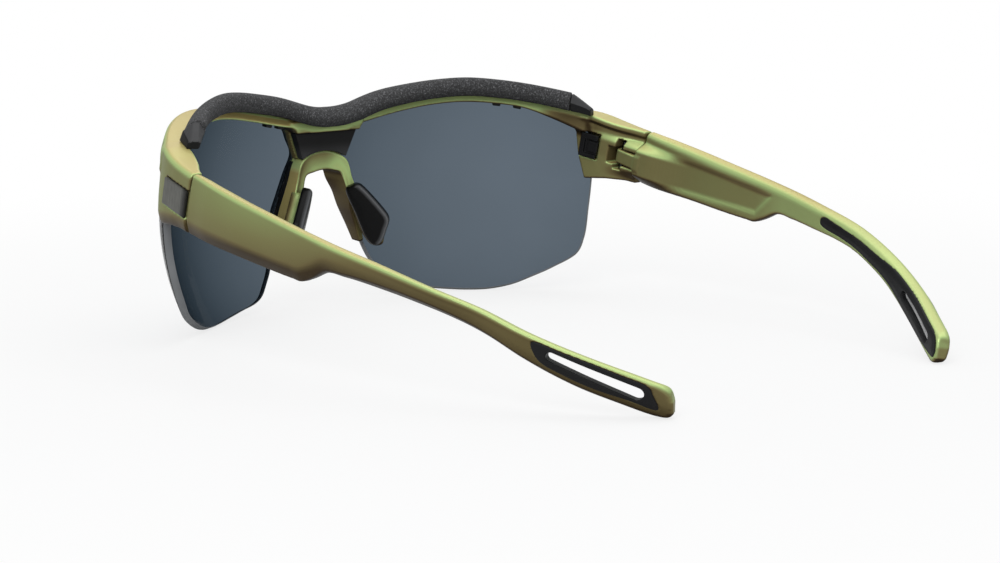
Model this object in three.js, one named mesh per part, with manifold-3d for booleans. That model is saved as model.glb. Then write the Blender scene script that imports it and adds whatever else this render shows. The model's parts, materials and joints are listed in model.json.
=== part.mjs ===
// Sports sunglasses: a half-rim front with two domed lenses, a foam brow bar, a nose bridge with soft pads,
// folding temples with rubber grips, and a latch at each end that holds the lens.
import * as THREE from 'three';
import { mergeVertices } from 'three/addons/utils/BufferGeometryUtils.js';
import Module from 'manifold-3d';

const wasm = await Module();
wasm.setup();
const { degToRad } = THREE.MathUtils;

// Worn position, in millimetres: X across, Y from the front backwards, Z up, middle of the face at X = 0.
const FRONT_WIDTH = 140; // across the outer faces at the temple seams
const TEMPLE_LENGTH = 115; // from the seam to the tip
const TEMPLE_SLOPE = degToRad(7.9); // the temples run down towards the ears
const FIT = 0.3; // gap between pieces shaped to each other
const SEAM_GAP = 0.3; // between the end pieces and the temples
const HALF = FRONT_WIDTH / 2;

// Lens: a dome whose outline is measured along its rear surface, across and up from its middle.
const LENS_RADIUS = 52.7;
const LENS_THICKNESS = 2.2;
const LENS_MIDDLE = new THREE.Vector3(HALF - 54.3, 8.4, -10.8);
const LENS_OUTLINE = [
  [-9, 2.9], [-7.4, 6.4], [-5.2, 10.2], [-1, 12.1], [7.7, 13.5], [16.5, 14.9], [25.1, 15.7], [34.2, 15.5],
  [42.6, 14.8], [49.4, 13.2], [56.2, 11.3], [59.4, 8.5], [60.5, -1.5], [60.4, -10], [60.1, -17.1],
  [59.2, -21.1], [53.1, -25.6], [47.8, -28.5], [42.1, -31.3], [35.6, -33.2], [28.7, -33.8],
  [21.6, -33.5], [14.7, -32.4], [8, -31.1], [4.8, -29.6], [2.2, -27], [-0.3, -23.7], [-2.1, -18.8],
  [-3.8, -11.1], [-5.7, -6.6], [-7.4, -2.1],
];
const LENS_EDGE_SLANT = 1.3; // the front face is smaller all round by this much
const LENS_STEPS = 60;
const LENS_RINGS = 6;

// Brow bar: stations along the lens, with the height of its lower rear edge and of its top.
const BAR_STATIONS = [
  [-8.4, -1.3, 0.3], [-1.1, -0.1, 2.2], [7.7, 1.5, 3.7], [16.4, 2.9, 4.9], [25, 3.7, 5.6], [33.6, 3.6, 5.4],
  [42.1, 2.8, 4.8], [48.6, 1, 4.1], [54.2, -0.8, 3.4], [57.9, -2, 2.9],
];
const BAR_MIDDLE_LOW = -2.5;
const BAR_MIDDLE_TOP = -0.9;
const BAR_REAR = 2.7; // how far the bar stands behind the lens
const BAR_LIP = 1; // how far it stands in front of the lens

// End pieces, in the temples' own slope: along the temple from the seam, and up from the top corner.
// Plan points are given as inside HALF, along; side points as along, up.
const END_OUTER = [[0, 0], [0.5, -3.6], [1.1, -7.3], [2.5, -12], [4.5, -15.4], [7.5, -19]];
const END_WALL = 5.2; // wall thickness at the seam
const END_INNER = [[6.5, -5.2], [8.3, -10.6], [10.1, -15.9]];
const SHELF_INNER = [[7.2, -5.1], [10.8, -13], [14.7, -17.2]];
const SHELF_DEPTH = 1.9;
const END_TOP = [[0, 0.2], [-9.1, 0.4], [-15.5, 0.8], [-19.1, 1.4]];
const END_FRONT = [[-16.8, -3], [-15, -9.6], [-12.4, -15.2]];
const END_LOW = [[-7.3, -13.8], [-3, -13.1], [0, -13]];

// Hinge
const PIN_RADIUS = 0.75;
const PIN_INSIDE = 4.2; // inside the outer face
const PIN_ALONG = -4.9; // ahead of the seam
const PIN_PLAY = 0.12;
const KNUCKLE_WALL = 0.85; // material round the pin
const TONGUE_LOW = -9.2;
const TONGUE_TOP = -5.8;
const TONGUE_PLAY = 0.35;
const PIN_SEAT = 1.8; // how far the pin goes into the end piece above and below the tongue

// Temple: plan of the outer face and thickness along it, side outline, both from the seam and from the tip.
// Plan points are given as along, outside HALF; side points as along, up.
const PLAN_FROM_SEAM = [[0, 0], [7.5, 0.9], [16.7, 1.4], [25.9, 1.3], [37.9, 1], [46.3, 0.4]];
const PLAN_FROM_TIP = [
  [58.5, -1.2], [44.5, -4], [35, -7.4], [25, -11.1], [15.9, -16.3], [5.4, -23.8], [0, -27.9],
];
const THICKNESS_AT = [[0, END_WALL], [12, 4.4], [38, 4], [75, 3.6], [200, 3.4]]; // along, thickness
const TOP_FROM_TIP = [
  [72, 0.3], [58.8, 0.3], [43.7, 0], [34.7, -0.6], [24.7, -2.2], [15.1, -3.7], [4.1, -5.6], [1.6, -6.7],
];
const TIP_END = [[0.3, -8.9], [0, -11], [1.2, -12.8]]; // from the tip, up
const LOW_FROM_TIP = [
  [3.7, -13], [8.6, -12.3], [15.3, -11.2], [20.1, -10.1], [24.9, -8.8], [32.6, -6.6], [38.3, -5.6],
  [43.5, -5.1], [49.6, -5],
];
const STEP_FROM_SEAM = [
  [57.5, -5.2], [49.1, -5.5], [43.9, -6.1], [40.1, -8.7], [37.6, -10.1], [34.9, -10.4],
];
const ROOT_HEIGHT = 12.9;
const ROOF_BEVEL = [[0, 0.5], [56, 0.7], [84, 1.1], [103, 1.8], [200, 1.8]]; // on the inner top edge
const KEEL_BEVEL = [[0, 0.4], [39, 0.5], [49, 1.2], [84, 1.4], [103, 1], [200, 0.9]]; // outer lower edge
const PANEL_OUTLINE = [[6, -2], [41.9, -1.6], [37.5, -7.2], [9.4, -10.1]]; // on the inner face
const PANEL_DEPTH = 0.7;

// Rubber grip: a long strip inside, a short one outside, joined round the slot.
const STRIP_TOP = [
  [56.9, -1.7], [47.5, -1.1], [38.5, -1.8], [29.9, -3], [21.7, -4.4], [13.6, -6.1], [5.3, -8],
];
const STRIP_LOW = [
  [2.8, -11.6], [9.1, -11.1], [15.8, -9.9], [21.1, -8.9], [25.9, -7.5], [33.1, -5.5], [40.7, -3.9],
  [48.3, -3.2], [56.6, -3.5],
];
const PATCH_TOP = [[23.4, -3.9], [17, -4.8], [10.2, -5.7], [3.4, -6.8]];
const PATCH_LOW = [[2.5, -10.5], [9.1, -10.3], [15.8, -9.3], [20.6, -8.3], [22.9, -6.9]];
const GRIP_DEPTH = 0.8;
const GRIP_PROUD = 0.1;
const SLOT_FRONT = [20.9, -5.7]; // from the tip, up
const SLOT_REAR = [5.1, -8.7];
const SLOT_RADIUS = 0.9;
const SLOT_WALL = 1.1;

// Lens latch, on the inner wall, and badge plate, on the outer wall of the end piece.
const LATCH_LENGTH = 4.9;
const LATCH_HEIGHT = 5.9;
const LATCH_THICKNESS = 1.1;
const LATCH_AT = [9.3, -12.6, -6.7]; // middle of its face: inside HALF, along, up
const LATCH_TURN = degToRad(-18.6);
const LATCH_RIM = 0.8;
const LATCH_DISH = 0.5;
const BADGE_LENGTH = 9.3;
const BADGE_HEIGHT = 5.8;
const BADGE_THICKNESS = 0.8;
const BADGE_AT = [0.8, -5.3, -6.7]; // middle of its face: inside HALF, along, up
const BADGE_TURN = degToRad(-9.3);
const BADGE_PROUD = 0.15;

// Foam bar, its carrier strip and its end caps, along the brow bar.
const FOAM_HALF_WIDTH = 3.2;
const FOAM_HEIGHT = 3.2;
const FOAM_BEHIND = 1.6;
const FOAM_END = 54.2;
const FOAM_SEAT = 0.25;
const CARRIER_HALF_WIDTH = 2.8;
const CARRIER_THICKNESS = 0.8;
const CAP_END = 59.9;
const CAP_HALF_WIDTH = 1.6;
const CAP_END_HEIGHT = 1.5;
const CAP_END_LOW = 2.2;

// Bridge: the insert between the lenses, the saddle and its arms along the inner edges of the lenses.
const INSERT_TOP = -2.8;
const INSERT_LOW = -8.5;
const INSERT_REAR = -40.5;
const INSERT_THICKNESS = 2;
const INSERT_TOP_INSET = -2.6; // from the lens corner nearest the nose
const INSERT_LOW_INSET = 0.3;
const ARCH_RISE = 1.7;
const PLATE_FRONT = -46;
const NASAL = LENS_MIDDLE.x - 9; // lens corner nearest the nose
const ARM_STATIONS = [ // inner x, z and outer x, z from the lens corner, then front, inner rear, outer rear
  [5.1, -29.8, 6.35, -29.3, -42.9, -39.8, -39.8],
  [3.5, -25.7, 5.45, -25.1, -44.1, -39.9, -39.9],
  [1.5, -21.5, 4.4, -21, -45, -40.1, -40.1],
  [-0.2, -17.8, 2.8, -17.2, -45.3, -40.2, -40.3],
  [-0.95, -14.7, 1.35, -13.6, -45.4, -40.5, -40.5],
  [-1.95, -12.9, 0, -10.5, -45.5, -40.4, -40.8],
];
const SADDLE_LOW = -11.4;
const SADDLE_FRONT = -45.2;
const SADDLE_REAR_LOW = -40.2;
const SADDLE_REAR_TOP = -41.5;

// Nose pads, in a frame of their own: across the pad, along it downwards, and out of its face.
const PAD_ORIGIN = new THREE.Vector3(NASAL - 2.2, -38.3, -15);
const PAD_ACROSS = new THREE.Vector3(0.64, 0.67, 0.11).normalize();
const PAD_ALONG = new THREE.Vector3(0.34, 0.145, -0.88).normalize();
const PAD_OUTLINE = [
  [0.4, 1.1], [1.3, 0.2], [2.5, 0.3], [4.8, 3], [7.3, 7.4], [7.8, 9.7], [7.4, 12], [5.6, 14.8],
  [4.1, 15.6], [2.4, 15.1], [1.2, 12.9], [0.5, 7.2],
];
const PAD_THICKNESS = 2.6;
const PAD_CROWN = 0.9;
const HOLDER_THICKNESS = 1;
const HOLDER_OUTLINE = [
  [1.3, 3], [3.2, 2.8], [4.9, 6.2], [5.2, 11.2], [3.9, 13.3], [2.3, 13.1], [1.4, 8.5],
];

// Paint and plastics
const finish = (color, roughness, metalness = 0) => ({ color, roughness, metalness });
const PAINT = finish(0x858a5c, 0.38, 0.35);
const BLACK = finish(0x1a1b1c, 0.45);
const RUBBER = finish(0x2b2c2d, 0.7);
const FOAM = finish(0x3a3a3b, 0.95);
const SMOKE = finish(0x566472, 0.08);
const PLATE = finish(0x4a4b4c, 0.4, 0.6);
const STEEL = finish(0x8d8f92, 0.3, 1);

// A closed surface with its faces turned outwards.
function shell(points, faces) {
  const corner = (i) => points[i];
  let volume = 0;
  for (const [a, b, c] of faces) {
    volume += corner(a).dot(new THREE.Vector3().crossVectors(corner(b), corner(c)));
  }
  const turned = volume < 0 ? faces.map(([a, b, c]) => [a, c, b]) : faces;
  const geometry = new THREE.BufferGeometry().setFromPoints(points);
  geometry.setIndex(turned.flat());
  return geometry;
}

// A skin over rings of equal count, closed by a fan at each end.
function loft(rings) {
  const count = rings[0].length;
  const points = rings.flat();
  const faces = [];
  for (let i = 0; i < rings.length - 1; i += 1) {
    for (let k = 0; k < count; k += 1) {
      const a = i * count + k;
      const b = i * count + ((k + 1) % count);
      faces.push([a, b, b + count], [a, b + count, a + count]);
    }
  }
  const last = (rings.length - 1) * count;
  for (const [start, ring] of [[0, rings[0]], [last, rings[rings.length - 1]]]) {
    const middle = ring.reduce((sum, p) => sum.add(p), new THREE.Vector3()).divideScalar(count);
    points.push(middle);
    for (let k = 0; k < count; k += 1) {
      const face = [points.length - 1, start + k, start + ((k + 1) % count)];
      faces.push(start === 0 ? [face[0], face[2], face[1]] : face);
    }
  }
  return shell(points, faces);
}

function toSolid(geometry) {
  const bare = new THREE.BufferGeometry();
  bare.setAttribute('position', geometry.getAttribute('position').clone());
  bare.setIndex(geometry.getIndex());
  const merged = mergeVertices(bare, 1e-4);
  const vertProperties = new Float32Array(merged.getAttribute('position').array);
  const triVerts = new Uint32Array(merged.getIndex().array);
  return new wasm.Manifold(new wasm.Mesh({ numProp: 3, vertProperties, triVerts }));
}

function toGeometry(solid) {
  const mesh = solid.getMesh();
  const geometry = new THREE.BufferGeometry();
  geometry.setAttribute('position', new THREE.BufferAttribute(new Float32Array(mesh.vertProperties), 3));
  geometry.setIndex(new THREE.BufferAttribute(new Uint32Array(mesh.triVerts), 1));
  return geometry;
}

const mirrored = (geometry) => {
  const copy = geometry.clone().applyMatrix4(new THREE.Matrix4().makeScale(-1, 1, 1));
  const index = copy.getIndex();
  const turned = [];
  for (let i = 0; i < index.count; i += 3) {
    turned.push(index.getX(i), index.getX(i + 2), index.getX(i + 1));
  }
  copy.setIndex(turned);
  return copy;
};

// A flat outline given as pairs, pushed along Z, or stood up and pushed along X.
function slab(pairs, from, to) {
  const shape = new THREE.Shape(pairs.map(([a, b]) => new THREE.Vector2(a, b)));
  const geometry = new THREE.ExtrudeGeometry(shape, { depth: to - from, bevelEnabled: false });
  return mergeVertices(bareOf(geometry), 1e-5).translate(0, 0, from);
}
function bareOf(geometry) {
  const bare = new THREE.BufferGeometry();
  bare.setAttribute('position', geometry.getAttribute('position'));
  return bare;
}
const STAND = new THREE.Matrix4().makeBasis(
  new THREE.Vector3(0, 1, 0), new THREE.Vector3(0, 0, 1), new THREE.Vector3(1, 0, 0));
const sideSlab = (pairs, from, to) => slab(pairs, from, to).applyMatrix4(STAND);

// Points on a smooth line through the given pairs.
function smooth(pairs, steps, closed = false) {
  const curve = new THREE.CatmullRomCurve3(
    pairs.map(([a, b]) => new THREE.Vector3(a, b, 0)), closed, 'centripetal');
  return curve.getPoints(steps).slice(0, closed ? steps : steps + 1).map((p) => [p.x, p.y]);
}

// A value at a place in a table of [place, value] pairs, with straight lines between them.
function read(table, place, column = 1) {
  const next = table.findIndex(([at]) => at >= place);
  if (next === 0) return table[0][column];
  if (next < 0) return table[table.length - 1][column];
  const [low, high] = [table[next - 1], table[next]];
  return THREE.MathUtils.mapLinear(place, low[0], high[0], low[column], high[column]);
}

// An outline moved outwards all round.
function grown(outline, amount) {
  const count = outline.length;
  const turn = Math.sign(THREE.ShapeUtils.area(outline.map(([x, y]) => new THREE.Vector2(x, y))));
  return outline.map(([x, y], i) => {
    const [ax, ay] = outline[(i + count - 1) % count];
    const [bx, by] = outline[(i + 1) % count];
    const normal = new THREE.Vector2(by - ay, ax - bx).normalize();
    return [x + turn * amount * normal.x, y + turn * amount * normal.y];
  });
}

// From the temples' slope into the worn position.
const SLOPED = new THREE.Matrix4().makeRotationX(-TEMPLE_SLOPE);
const sloped = (geometry) => geometry.clone().applyMatrix4(SLOPED);

// Lens
function domePoint(across, up, rise) {
  const turn = across / LENS_RADIUS;
  const lift = up / LENS_RADIUS;
  const radius = LENS_RADIUS + rise;
  return new THREE.Vector3(
    Math.cos(lift) * Math.sin(turn), -Math.cos(lift) * Math.cos(turn), Math.sin(lift),
  ).multiplyScalar(radius).add(LENS_MIDDLE);
}

function dome(grow, slant, rear, front) {
  const curve = new THREE.CatmullRomCurve3(
    LENS_OUTLINE.map(([a, b]) => new THREE.Vector3(a, b, 0)), true, 'centripetal');
  const outline = curve.getPoints(LENS_STEPS).slice(0, LENS_STEPS);
  const middle = outline.reduce((sum, p) => sum.add(p), new THREE.Vector3()).divideScalar(LENS_STEPS);
  const edge = (amount) => outline.map((p) => {
    const out = p.clone().sub(middle);
    return out.setLength(out.length() + amount).add(middle);
  });
  const points = [];
  const faces = [];
  for (const rise of [rear, front]) {
    const first = points.length;
    points.push(domePoint(middle.x, middle.y, rise));
    for (let ring = 1; ring <= LENS_RINGS; ring += 1) {
      for (const p of edge(rise === rear ? grow : grow - slant)) {
        const q = middle.clone().lerp(p, ring / LENS_RINGS);
        points.push(domePoint(q.x, q.y, rise));
      }
    }
    for (let k = 0; k < LENS_STEPS; k += 1) {
      const next = (k + 1) % LENS_STEPS;
      const skin = [[first, first + 1 + k, first + 1 + next]];
      for (let ring = 1; ring < LENS_RINGS; ring += 1) {
        const a = first + 1 + (ring - 1) * LENS_STEPS;
        const b = a + LENS_STEPS;
        skin.push([a + k, b + k, b + next], [a + k, b + next, a + next]);
      }
      faces.push(...(rise === rear ? skin : skin.map(([a, b, c]) => [a, c, b])));
    }
  }
  const rearEdge = 1 + (LENS_RINGS - 1) * LENS_STEPS;
  const frontEdge = rearEdge + 1 + LENS_RINGS * LENS_STEPS;
  for (let k = 0; k < LENS_STEPS; k += 1) {
    const next = (k + 1) % LENS_STEPS;
    faces.push([rearEdge + k, frontEdge + k, frontEdge + next]);
    faces.push([rearEdge + k, frontEdge + next, rearEdge + next]);
  }
  return shell(points, faces);
}
const lens = dome(0, LENS_EDGE_SLANT, 0, LENS_THICKNESS);
const lensRoom = dome(FIT, 0, -FIT, LENS_THICKNESS + FIT);

// A point on the brow: along the lens dome, or, nearer the nose, along a curve that joins the two domes.
const JOIN = BAR_STATIONS[0][0];
function browPoint(across, behind, z) {
  const rise = z - LENS_MIDDLE.z;
  const radius = Math.sqrt((LENS_RADIUS - behind) ** 2 - rise ** 2);
  const turn = across / LENS_RADIUS;
  return new THREE.Vector3(
    LENS_MIDDLE.x + radius * Math.sin(turn), LENS_MIDDLE.y - radius * Math.cos(turn), z);
}
function bridgePoint(share, behind, z) {
  const join = browPoint(JOIN, 0, z);
  const slope = Math.tan(JOIN / LENS_RADIUS);
  const x = join.x * share;
  const y = join.y - (slope * join.x * (1 - share * share)) / 2;
  const turn = Math.atan(slope * share);
  return new THREE.Vector3(x - behind * Math.sin(turn), y + behind * Math.cos(turn), z);
}

// Stations from the middle of the brow to its end: each gives its heights and places points in its plane.
function browStations(end, stations = BAR_STATIONS) {
  const list = [0, 0.35, 0.7].map((share) => ({
    low: THREE.MathUtils.lerp(BAR_MIDDLE_LOW, BAR_STATIONS[0][1], share * share),
    top: THREE.MathUtils.lerp(BAR_MIDDLE_TOP, BAR_STATIONS[0][2], share * share),
    share,
    place: (behind, z) => bridgePoint(share, behind, z),
  }));
  const along = stations.map(([at]) => at).filter((at) => at < end - 1).concat(end);
  for (const at of along) {
    list.push({
      low: read(BAR_STATIONS, at, 1),
      top: read(BAR_STATIONS, at, 2),
      share: 1,
      place: (behind, z) => browPoint(at, behind, z),
    });
  }
  return list;
}

// A loft from the far end of the right brow to the far end of the left one.
function browLoft(stations, section) {
  const left = stations.map((station) => section(station).map(([behind, z]) => station.place(behind, z)));
  const right = left.slice(1).reverse().map((ring) => ring.map((p) => new THREE.Vector3(-p.x, p.y, p.z)));
  return loft([...right, ...left]);
}

// Foam, carrier and caps lie on the bar and, past its end, on the end piece.
const END_OF_BAR = BAR_STATIONS[BAR_STATIONS.length - 1][0];
const capBase = (at) => (at < END_OF_BAR ? read(BAR_STATIONS, at, 2) : read(
  [[END_OF_BAR, read(BAR_STATIONS, END_OF_BAR, 2)], [CAP_END, CAP_END_LOW]], at));
const foamMiddle = ({ share }) => FOAM_BEHIND * (0.2 + 0.8 * share);
const pastCap = { low: 0, top: CAP_END_LOW, share: 1, place: (b, z) => browPoint(CAP_END + 1, b, z) };
const browRoom = browLoft([...browStations(END_OF_BAR), pastCap],
  (station) => [[8, 0.02], [8, 9], [-1, 9], [-1, 0.02]].map(([across, up]) => [
    foamMiddle(station) + (across < 0 ? -FOAM_HALF_WIDTH - FIT : across), station.top + up]));

// Front frame
const front = LENS_THICKNESS + BAR_LIP;
const barSection = ({ low, top }) => [
  [2, low], [BAR_REAR, low + 0.6], [BAR_REAR, top - 0.5], [BAR_REAR - 0.5, top], [0.6 - front, top - 0.1],
  [-front, top - 0.7], [-front, low + 0.2], [0.5 - front, low - 0.3], [-0.8, low - 0.3],
];
const bar = browLoft(browStations(END_OF_BAR), barSection);

const endAlong = -SEAM_GAP / 2;
const fromSeam = ([inside, along]) => [HALF - inside, along];
const endOuter = smooth(END_OUTER.map(fromSeam), 12);
endOuter[0][1] = endAlong;
const wallPlan = [...endOuter, ...smooth([...END_INNER.map(fromSeam).reverse(),
  [HALF - END_WALL, endAlong]], 8)];
const shelfPlan = [...endOuter, ...smooth([...SHELF_INNER.map(fromSeam).reverse(),
  [HALF - END_WALL + 0.3, endAlong]], 8)];
const atSeam = ([along, up]) => [Math.min(along, endAlong), up];
const endTop = END_TOP.map(atSeam);
const wallSide = [...endTop, ...END_FRONT, ...smooth(END_LOW.map(atSeam), 8)];
const shelfSide = [...endTop, ...endTop.map(([along, up]) => [along, up - SHELF_DEPTH]).reverse()];

function crossed(plan, side) {
  const low = Math.min(...side.map(([, up]) => up)) - 1;
  const high = Math.max(...side.map(([, up]) => up)) + 1;
  const inside = Math.min(...plan.map(([x]) => x)) - 1;
  const outside = Math.max(...plan.map(([x]) => x)) + 1;
  return toSolid(slab(plan, low, high)).intersect(toSolid(sideSlab(side, inside, outside)));
}

// Hinge: pin, tongue and the pocket that the tongue turns in.
const pinX = HALF - PIN_INSIDE;
const knuckle = PIN_RADIUS + PIN_PLAY + KNUCKLE_WALL;
const pocketFloor = pinX + knuckle + TONGUE_PLAY;
const wellInside = HALF - 14;
const round = (x, along, radius, from, to, sides = 24) =>
  new THREE.CylinderGeometry(radius, radius, to - from, sides)
    .rotateX(Math.PI / 2).translate(x, along, (from + to) / 2);
const pinTop = TONGUE_TOP + TONGUE_PLAY + PIN_SEAT;
const pinLow = TONGUE_LOW - TONGUE_PLAY - PIN_SEAT;
const pocketFront = PIN_ALONG - knuckle - 1.3;
const pocket = slab([
  [wellInside, pocketFront], [pinX - 0.4, pocketFront], [pocketFloor, PIN_ALONG - knuckle - 0.4],
  [pocketFloor, 1], [wellInside, 1],
], TONGUE_LOW - TONGUE_PLAY, TONGUE_TOP + TONGUE_PLAY);
const pinSeatHalf = PIN_RADIUS + 0.4;
const pinSeats = slab([
  [wellInside, PIN_ALONG - pinSeatHalf], [pinX + PIN_RADIUS + PIN_PLAY, PIN_ALONG - pinSeatHalf],
  [pinX + PIN_RADIUS + PIN_PLAY, PIN_ALONG + pinSeatHalf], [wellInside, PIN_ALONG + pinSeatHalf],
], pinLow, pinTop);

// A plate with its own turn about the upright, at a place on an end piece.
function endPlate(length, height, [from, to], [inside, along, up], turn, shift = 0) {
  return new THREE.BoxGeometry(to - from, length, height)
    .translate((from + to) / 2, shift, 0).rotateZ(turn).translate(HALF - inside, along, up);
}
const roomy = (size) => size + 2 * FIT;
const latchWindow = endPlate(roomy(LATCH_LENGTH), roomy(LATCH_HEIGHT), [-3, 3], LATCH_AT, LATCH_TURN);
const badgeBack = BADGE_PROUD - BADGE_THICKNESS;
const badgeSeat = endPlate(
  roomy(BADGE_LENGTH), roomy(BADGE_HEIGHT), [badgeBack - FIT, 3], BADGE_AT, BADGE_TURN);
const badgePlate = endPlate(BADGE_LENGTH, BADGE_HEIGHT, [badgeBack, BADGE_PROUD], BADGE_AT, BADGE_TURN);

// Bridge outlines: half widths follow the lens corners, and the lower edge is an arch.
const archEdge = (half, low, rise) => [-1, -0.5, 0, 0.5, 1].map(
  (t) => [t * half, low + rise * (1 - t * t)]);
const insertTopHalf = NASAL - INSERT_TOP_INSET;
const insertLowHalf = NASAL - INSERT_LOW_INSET;
const insertOutline = [...archEdge(insertLowHalf, INSERT_LOW, ARCH_RISE),
  [insertTopHalf, INSERT_TOP], [-insertTopHalf, INSERT_TOP]];
const upright = new THREE.Matrix4().makeBasis(
  new THREE.Vector3(1, 0, 0), new THREE.Vector3(0, 0, 1), new THREE.Vector3(0, -1, 0));
const uprightSlab = (pairs, rear, thickness) => slab(pairs, -rear, thickness - rear).applyMatrix4(upright);
const insert = uprightSlab(insertOutline, INSERT_REAR, INSERT_THICKNESS);
const plateRear = INSERT_REAR - INSERT_THICKNESS - FIT;
const plateOutline = [...archEdge(insertLowHalf, INSERT_LOW, ARCH_RISE),
  [insertTopHalf, INSERT_TOP], [insertTopHalf + 0.8, BAR_MIDDLE_LOW + 0.8],
  [-insertTopHalf - 0.8, BAR_MIDDLE_LOW + 0.8], [-insertTopHalf, INSERT_TOP]];
const plate = uprightSlab(plateOutline, plateRear, plateRear - PLATE_FRONT);

function buildFront() {
  let solid = toSolid(bar).add(toSolid(plate));
  const end = [crossed(wallPlan, wallSide), crossed(shelfPlan, shelfSide)].map(toGeometry);
  const cuts = [pocket, pinSeats, latchWindow, badgeSeat].map(sloped).concat(lensRoom);
  const top = toSolid(browRoom);
  const insertRoom = uprightSlab(grown(insertOutline, FIT), INSERT_REAR + 3, INSERT_THICKNESS + FIT + 3);
  solid = solid.subtract(toSolid(insertRoom));
  for (const side of [(g) => g, mirrored]) {
    for (const piece of end) {
      solid = solid.add(toSolid(side(sloped(piece))));
    }
    for (const cut of cuts) {
      solid = solid.subtract(toSolid(side(cut)));
    }
  }
  return toGeometry(solid.subtract(top));
}

// Temple: its plan crossed with its side outline, then recessed for the grip.
const fromTip = ([back, value]) => [TEMPLE_LENGTH - back, value];
const planPoints = [...PLAN_FROM_SEAM, ...PLAN_FROM_TIP.map(fromTip)]
  .map(([along, out]) => new THREE.Vector3(HALF + out, along, 0));
const planCurve = new THREE.CatmullRomCurve3(planPoints, false, 'centripetal');
const PLAN_STEPS = 40;
const planAt = Array.from({ length: PLAN_STEPS + 1 }, (_, i) => {
  const share = i / PLAN_STEPS;
  const point = planCurve.getPoint(share);
  const tangent = planCurve.getTangent(share);
  const inward = new THREE.Vector3(-tangent.y, tangent.x, 0);
  return { point, inward, thickness: read(THICKNESS_AT, point.y) };
});
function planBand(outer, inner) {
  const line = (depth) => planAt.map(({ point, inward, thickness }) => {
    const p = point.clone().addScaledVector(inward, depth(thickness));
    return [p.x, p.y];
  });
  return [...line(outer), ...line(inner).reverse()];
}
const templeSide = [
  [SEAM_GAP / 2, 0.2], ...smooth(TOP_FROM_TIP.map(fromTip), 20), ...smooth(TIP_END.map(fromTip), 6),
  ...smooth([...LOW_FROM_TIP.map(fromTip), ...STEP_FROM_SEAM], 36), [SEAM_GAP / 2, -ROOT_HEIGHT],
];
const tongueX = [pinX - knuckle, pinX + knuckle];
const tongue = slab([
  ...Array.from({ length: 13 }, (_, i) => {
    const turn = Math.PI + (i / 12) * Math.PI;
    return [pinX + knuckle * Math.cos(turn), PIN_ALONG + knuckle * Math.sin(turn)];
  }),
  [tongueX[1], SEAM_GAP + 1], [tongueX[0] + 0.6, SEAM_GAP + 1],
], TONGUE_LOW, TONGUE_TOP);
const pinBore = round(pinX, PIN_ALONG, PIN_RADIUS + PIN_PLAY, TONGUE_LOW - 1, TONGUE_TOP + 1);

const stripOutline = smooth([...STRIP_TOP, ...STRIP_LOW].map(fromTip), 44, true);
const patchOutline = smooth([...PATCH_TOP, ...PATCH_LOW].map(fromTip), 28, true);
function stadium(radius) {
  const a = new THREE.Vector2(...fromTip(SLOT_FRONT));
  const b = new THREE.Vector2(...fromTip(SLOT_REAR));
  const heading = b.clone().sub(a).angle();
  const cap = (centre, start) => Array.from({ length: 9 }, (_, i) => {
    const turn = heading + start + (i / 8) * Math.PI;
    return [centre.x + radius * Math.cos(turn), centre.y + radius * Math.sin(turn)];
  });
  return [...cap(a, Math.PI / 2), ...cap(b, -Math.PI / 2)];
}
// A wedge along an edge of the temple: above the inner top edge, or below the outer lower one.
const templeTop = [[0, 0.2], ...TOP_FROM_TIP.map(fromTip), [TEMPLE_LENGTH + 9, -9.6]];
const templeLow = [
  [0, -ROOT_HEIGHT], ...[...STEP_FROM_SEAM].reverse(), ...LOW_FROM_TIP.map(fromTip).reverse(),
];
function edgeWedge(sizes, heights, up, inside) {
  const rings = planAt.map(({ point, inward, thickness }) => {
    const size = read(sizes, point.y);
    const face = inside ? thickness : 0;
    const into = inside ? -1 : 1;
    const at = (depth, rise) => {
      const p = point.clone().addScaledVector(inward, face + into * depth);
      p.z = read(heights, point.y) + up * rise;
      return p;
    };
    return [at(0, -size), at(1.3 * size, 0), at(1.3 * size, 2), at(-1, 2), at(-1, -size)];
  });
  const last = planAt[PLAN_STEPS].inward;
  const past = new THREE.Vector3(last.y, -last.x, 0).multiplyScalar(3);
  rings.push(rings[PLAN_STEPS].map((p) => p.clone().add(past)));
  return toSolid(loft(rings));
}

const insideFace = (extra) => (thickness) => thickness + extra;
const outsideFace = (extra) => () => -extra;
const recessDepth = GRIP_DEPTH + FIT;
const windowRadius = SLOT_RADIUS + SLOT_WALL;

function buildTemple() {
  const recesses = [
    crossed(planBand(insideFace(-recessDepth), insideFace(1)), grown(stripOutline, FIT)),
    crossed(planBand(outsideFace(1), outsideFace(-recessDepth)), grown(patchOutline, FIT)),
    crossed(planBand(outsideFace(2), insideFace(2)), stadium(windowRadius + FIT)),
    crossed(planBand(insideFace(-PANEL_DEPTH), insideFace(1)), PANEL_OUTLINE),
  ];
  let solid = crossed(planBand(outsideFace(0), insideFace(0)), templeSide);
  solid = solid.subtract(edgeWedge(ROOF_BEVEL, templeTop, 1, true));
  solid = solid.subtract(edgeWedge(KEEL_BEVEL, templeLow, -1, false));
  solid = solid.add(toSolid(tongue)).subtract(toSolid(pinBore));
  for (const recess of recesses) {
    solid = solid.subtract(recess);
  }
  return toGeometry(solid);
}

function buildGrip() {
  const strip = crossed(planBand(insideFace(-GRIP_DEPTH), insideFace(GRIP_PROUD)), stripOutline);
  const patch = crossed(planBand(outsideFace(GRIP_PROUD), outsideFace(-GRIP_DEPTH)), patchOutline);
  const plug = crossed(planBand(outsideFace(0), insideFace(0)), stadium(windowRadius));
  const slot = crossed(planBand(outsideFace(2), insideFace(2)), stadium(SLOT_RADIUS));
  return toGeometry(strip.add(patch).add(plug).subtract(slot));
}

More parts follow.
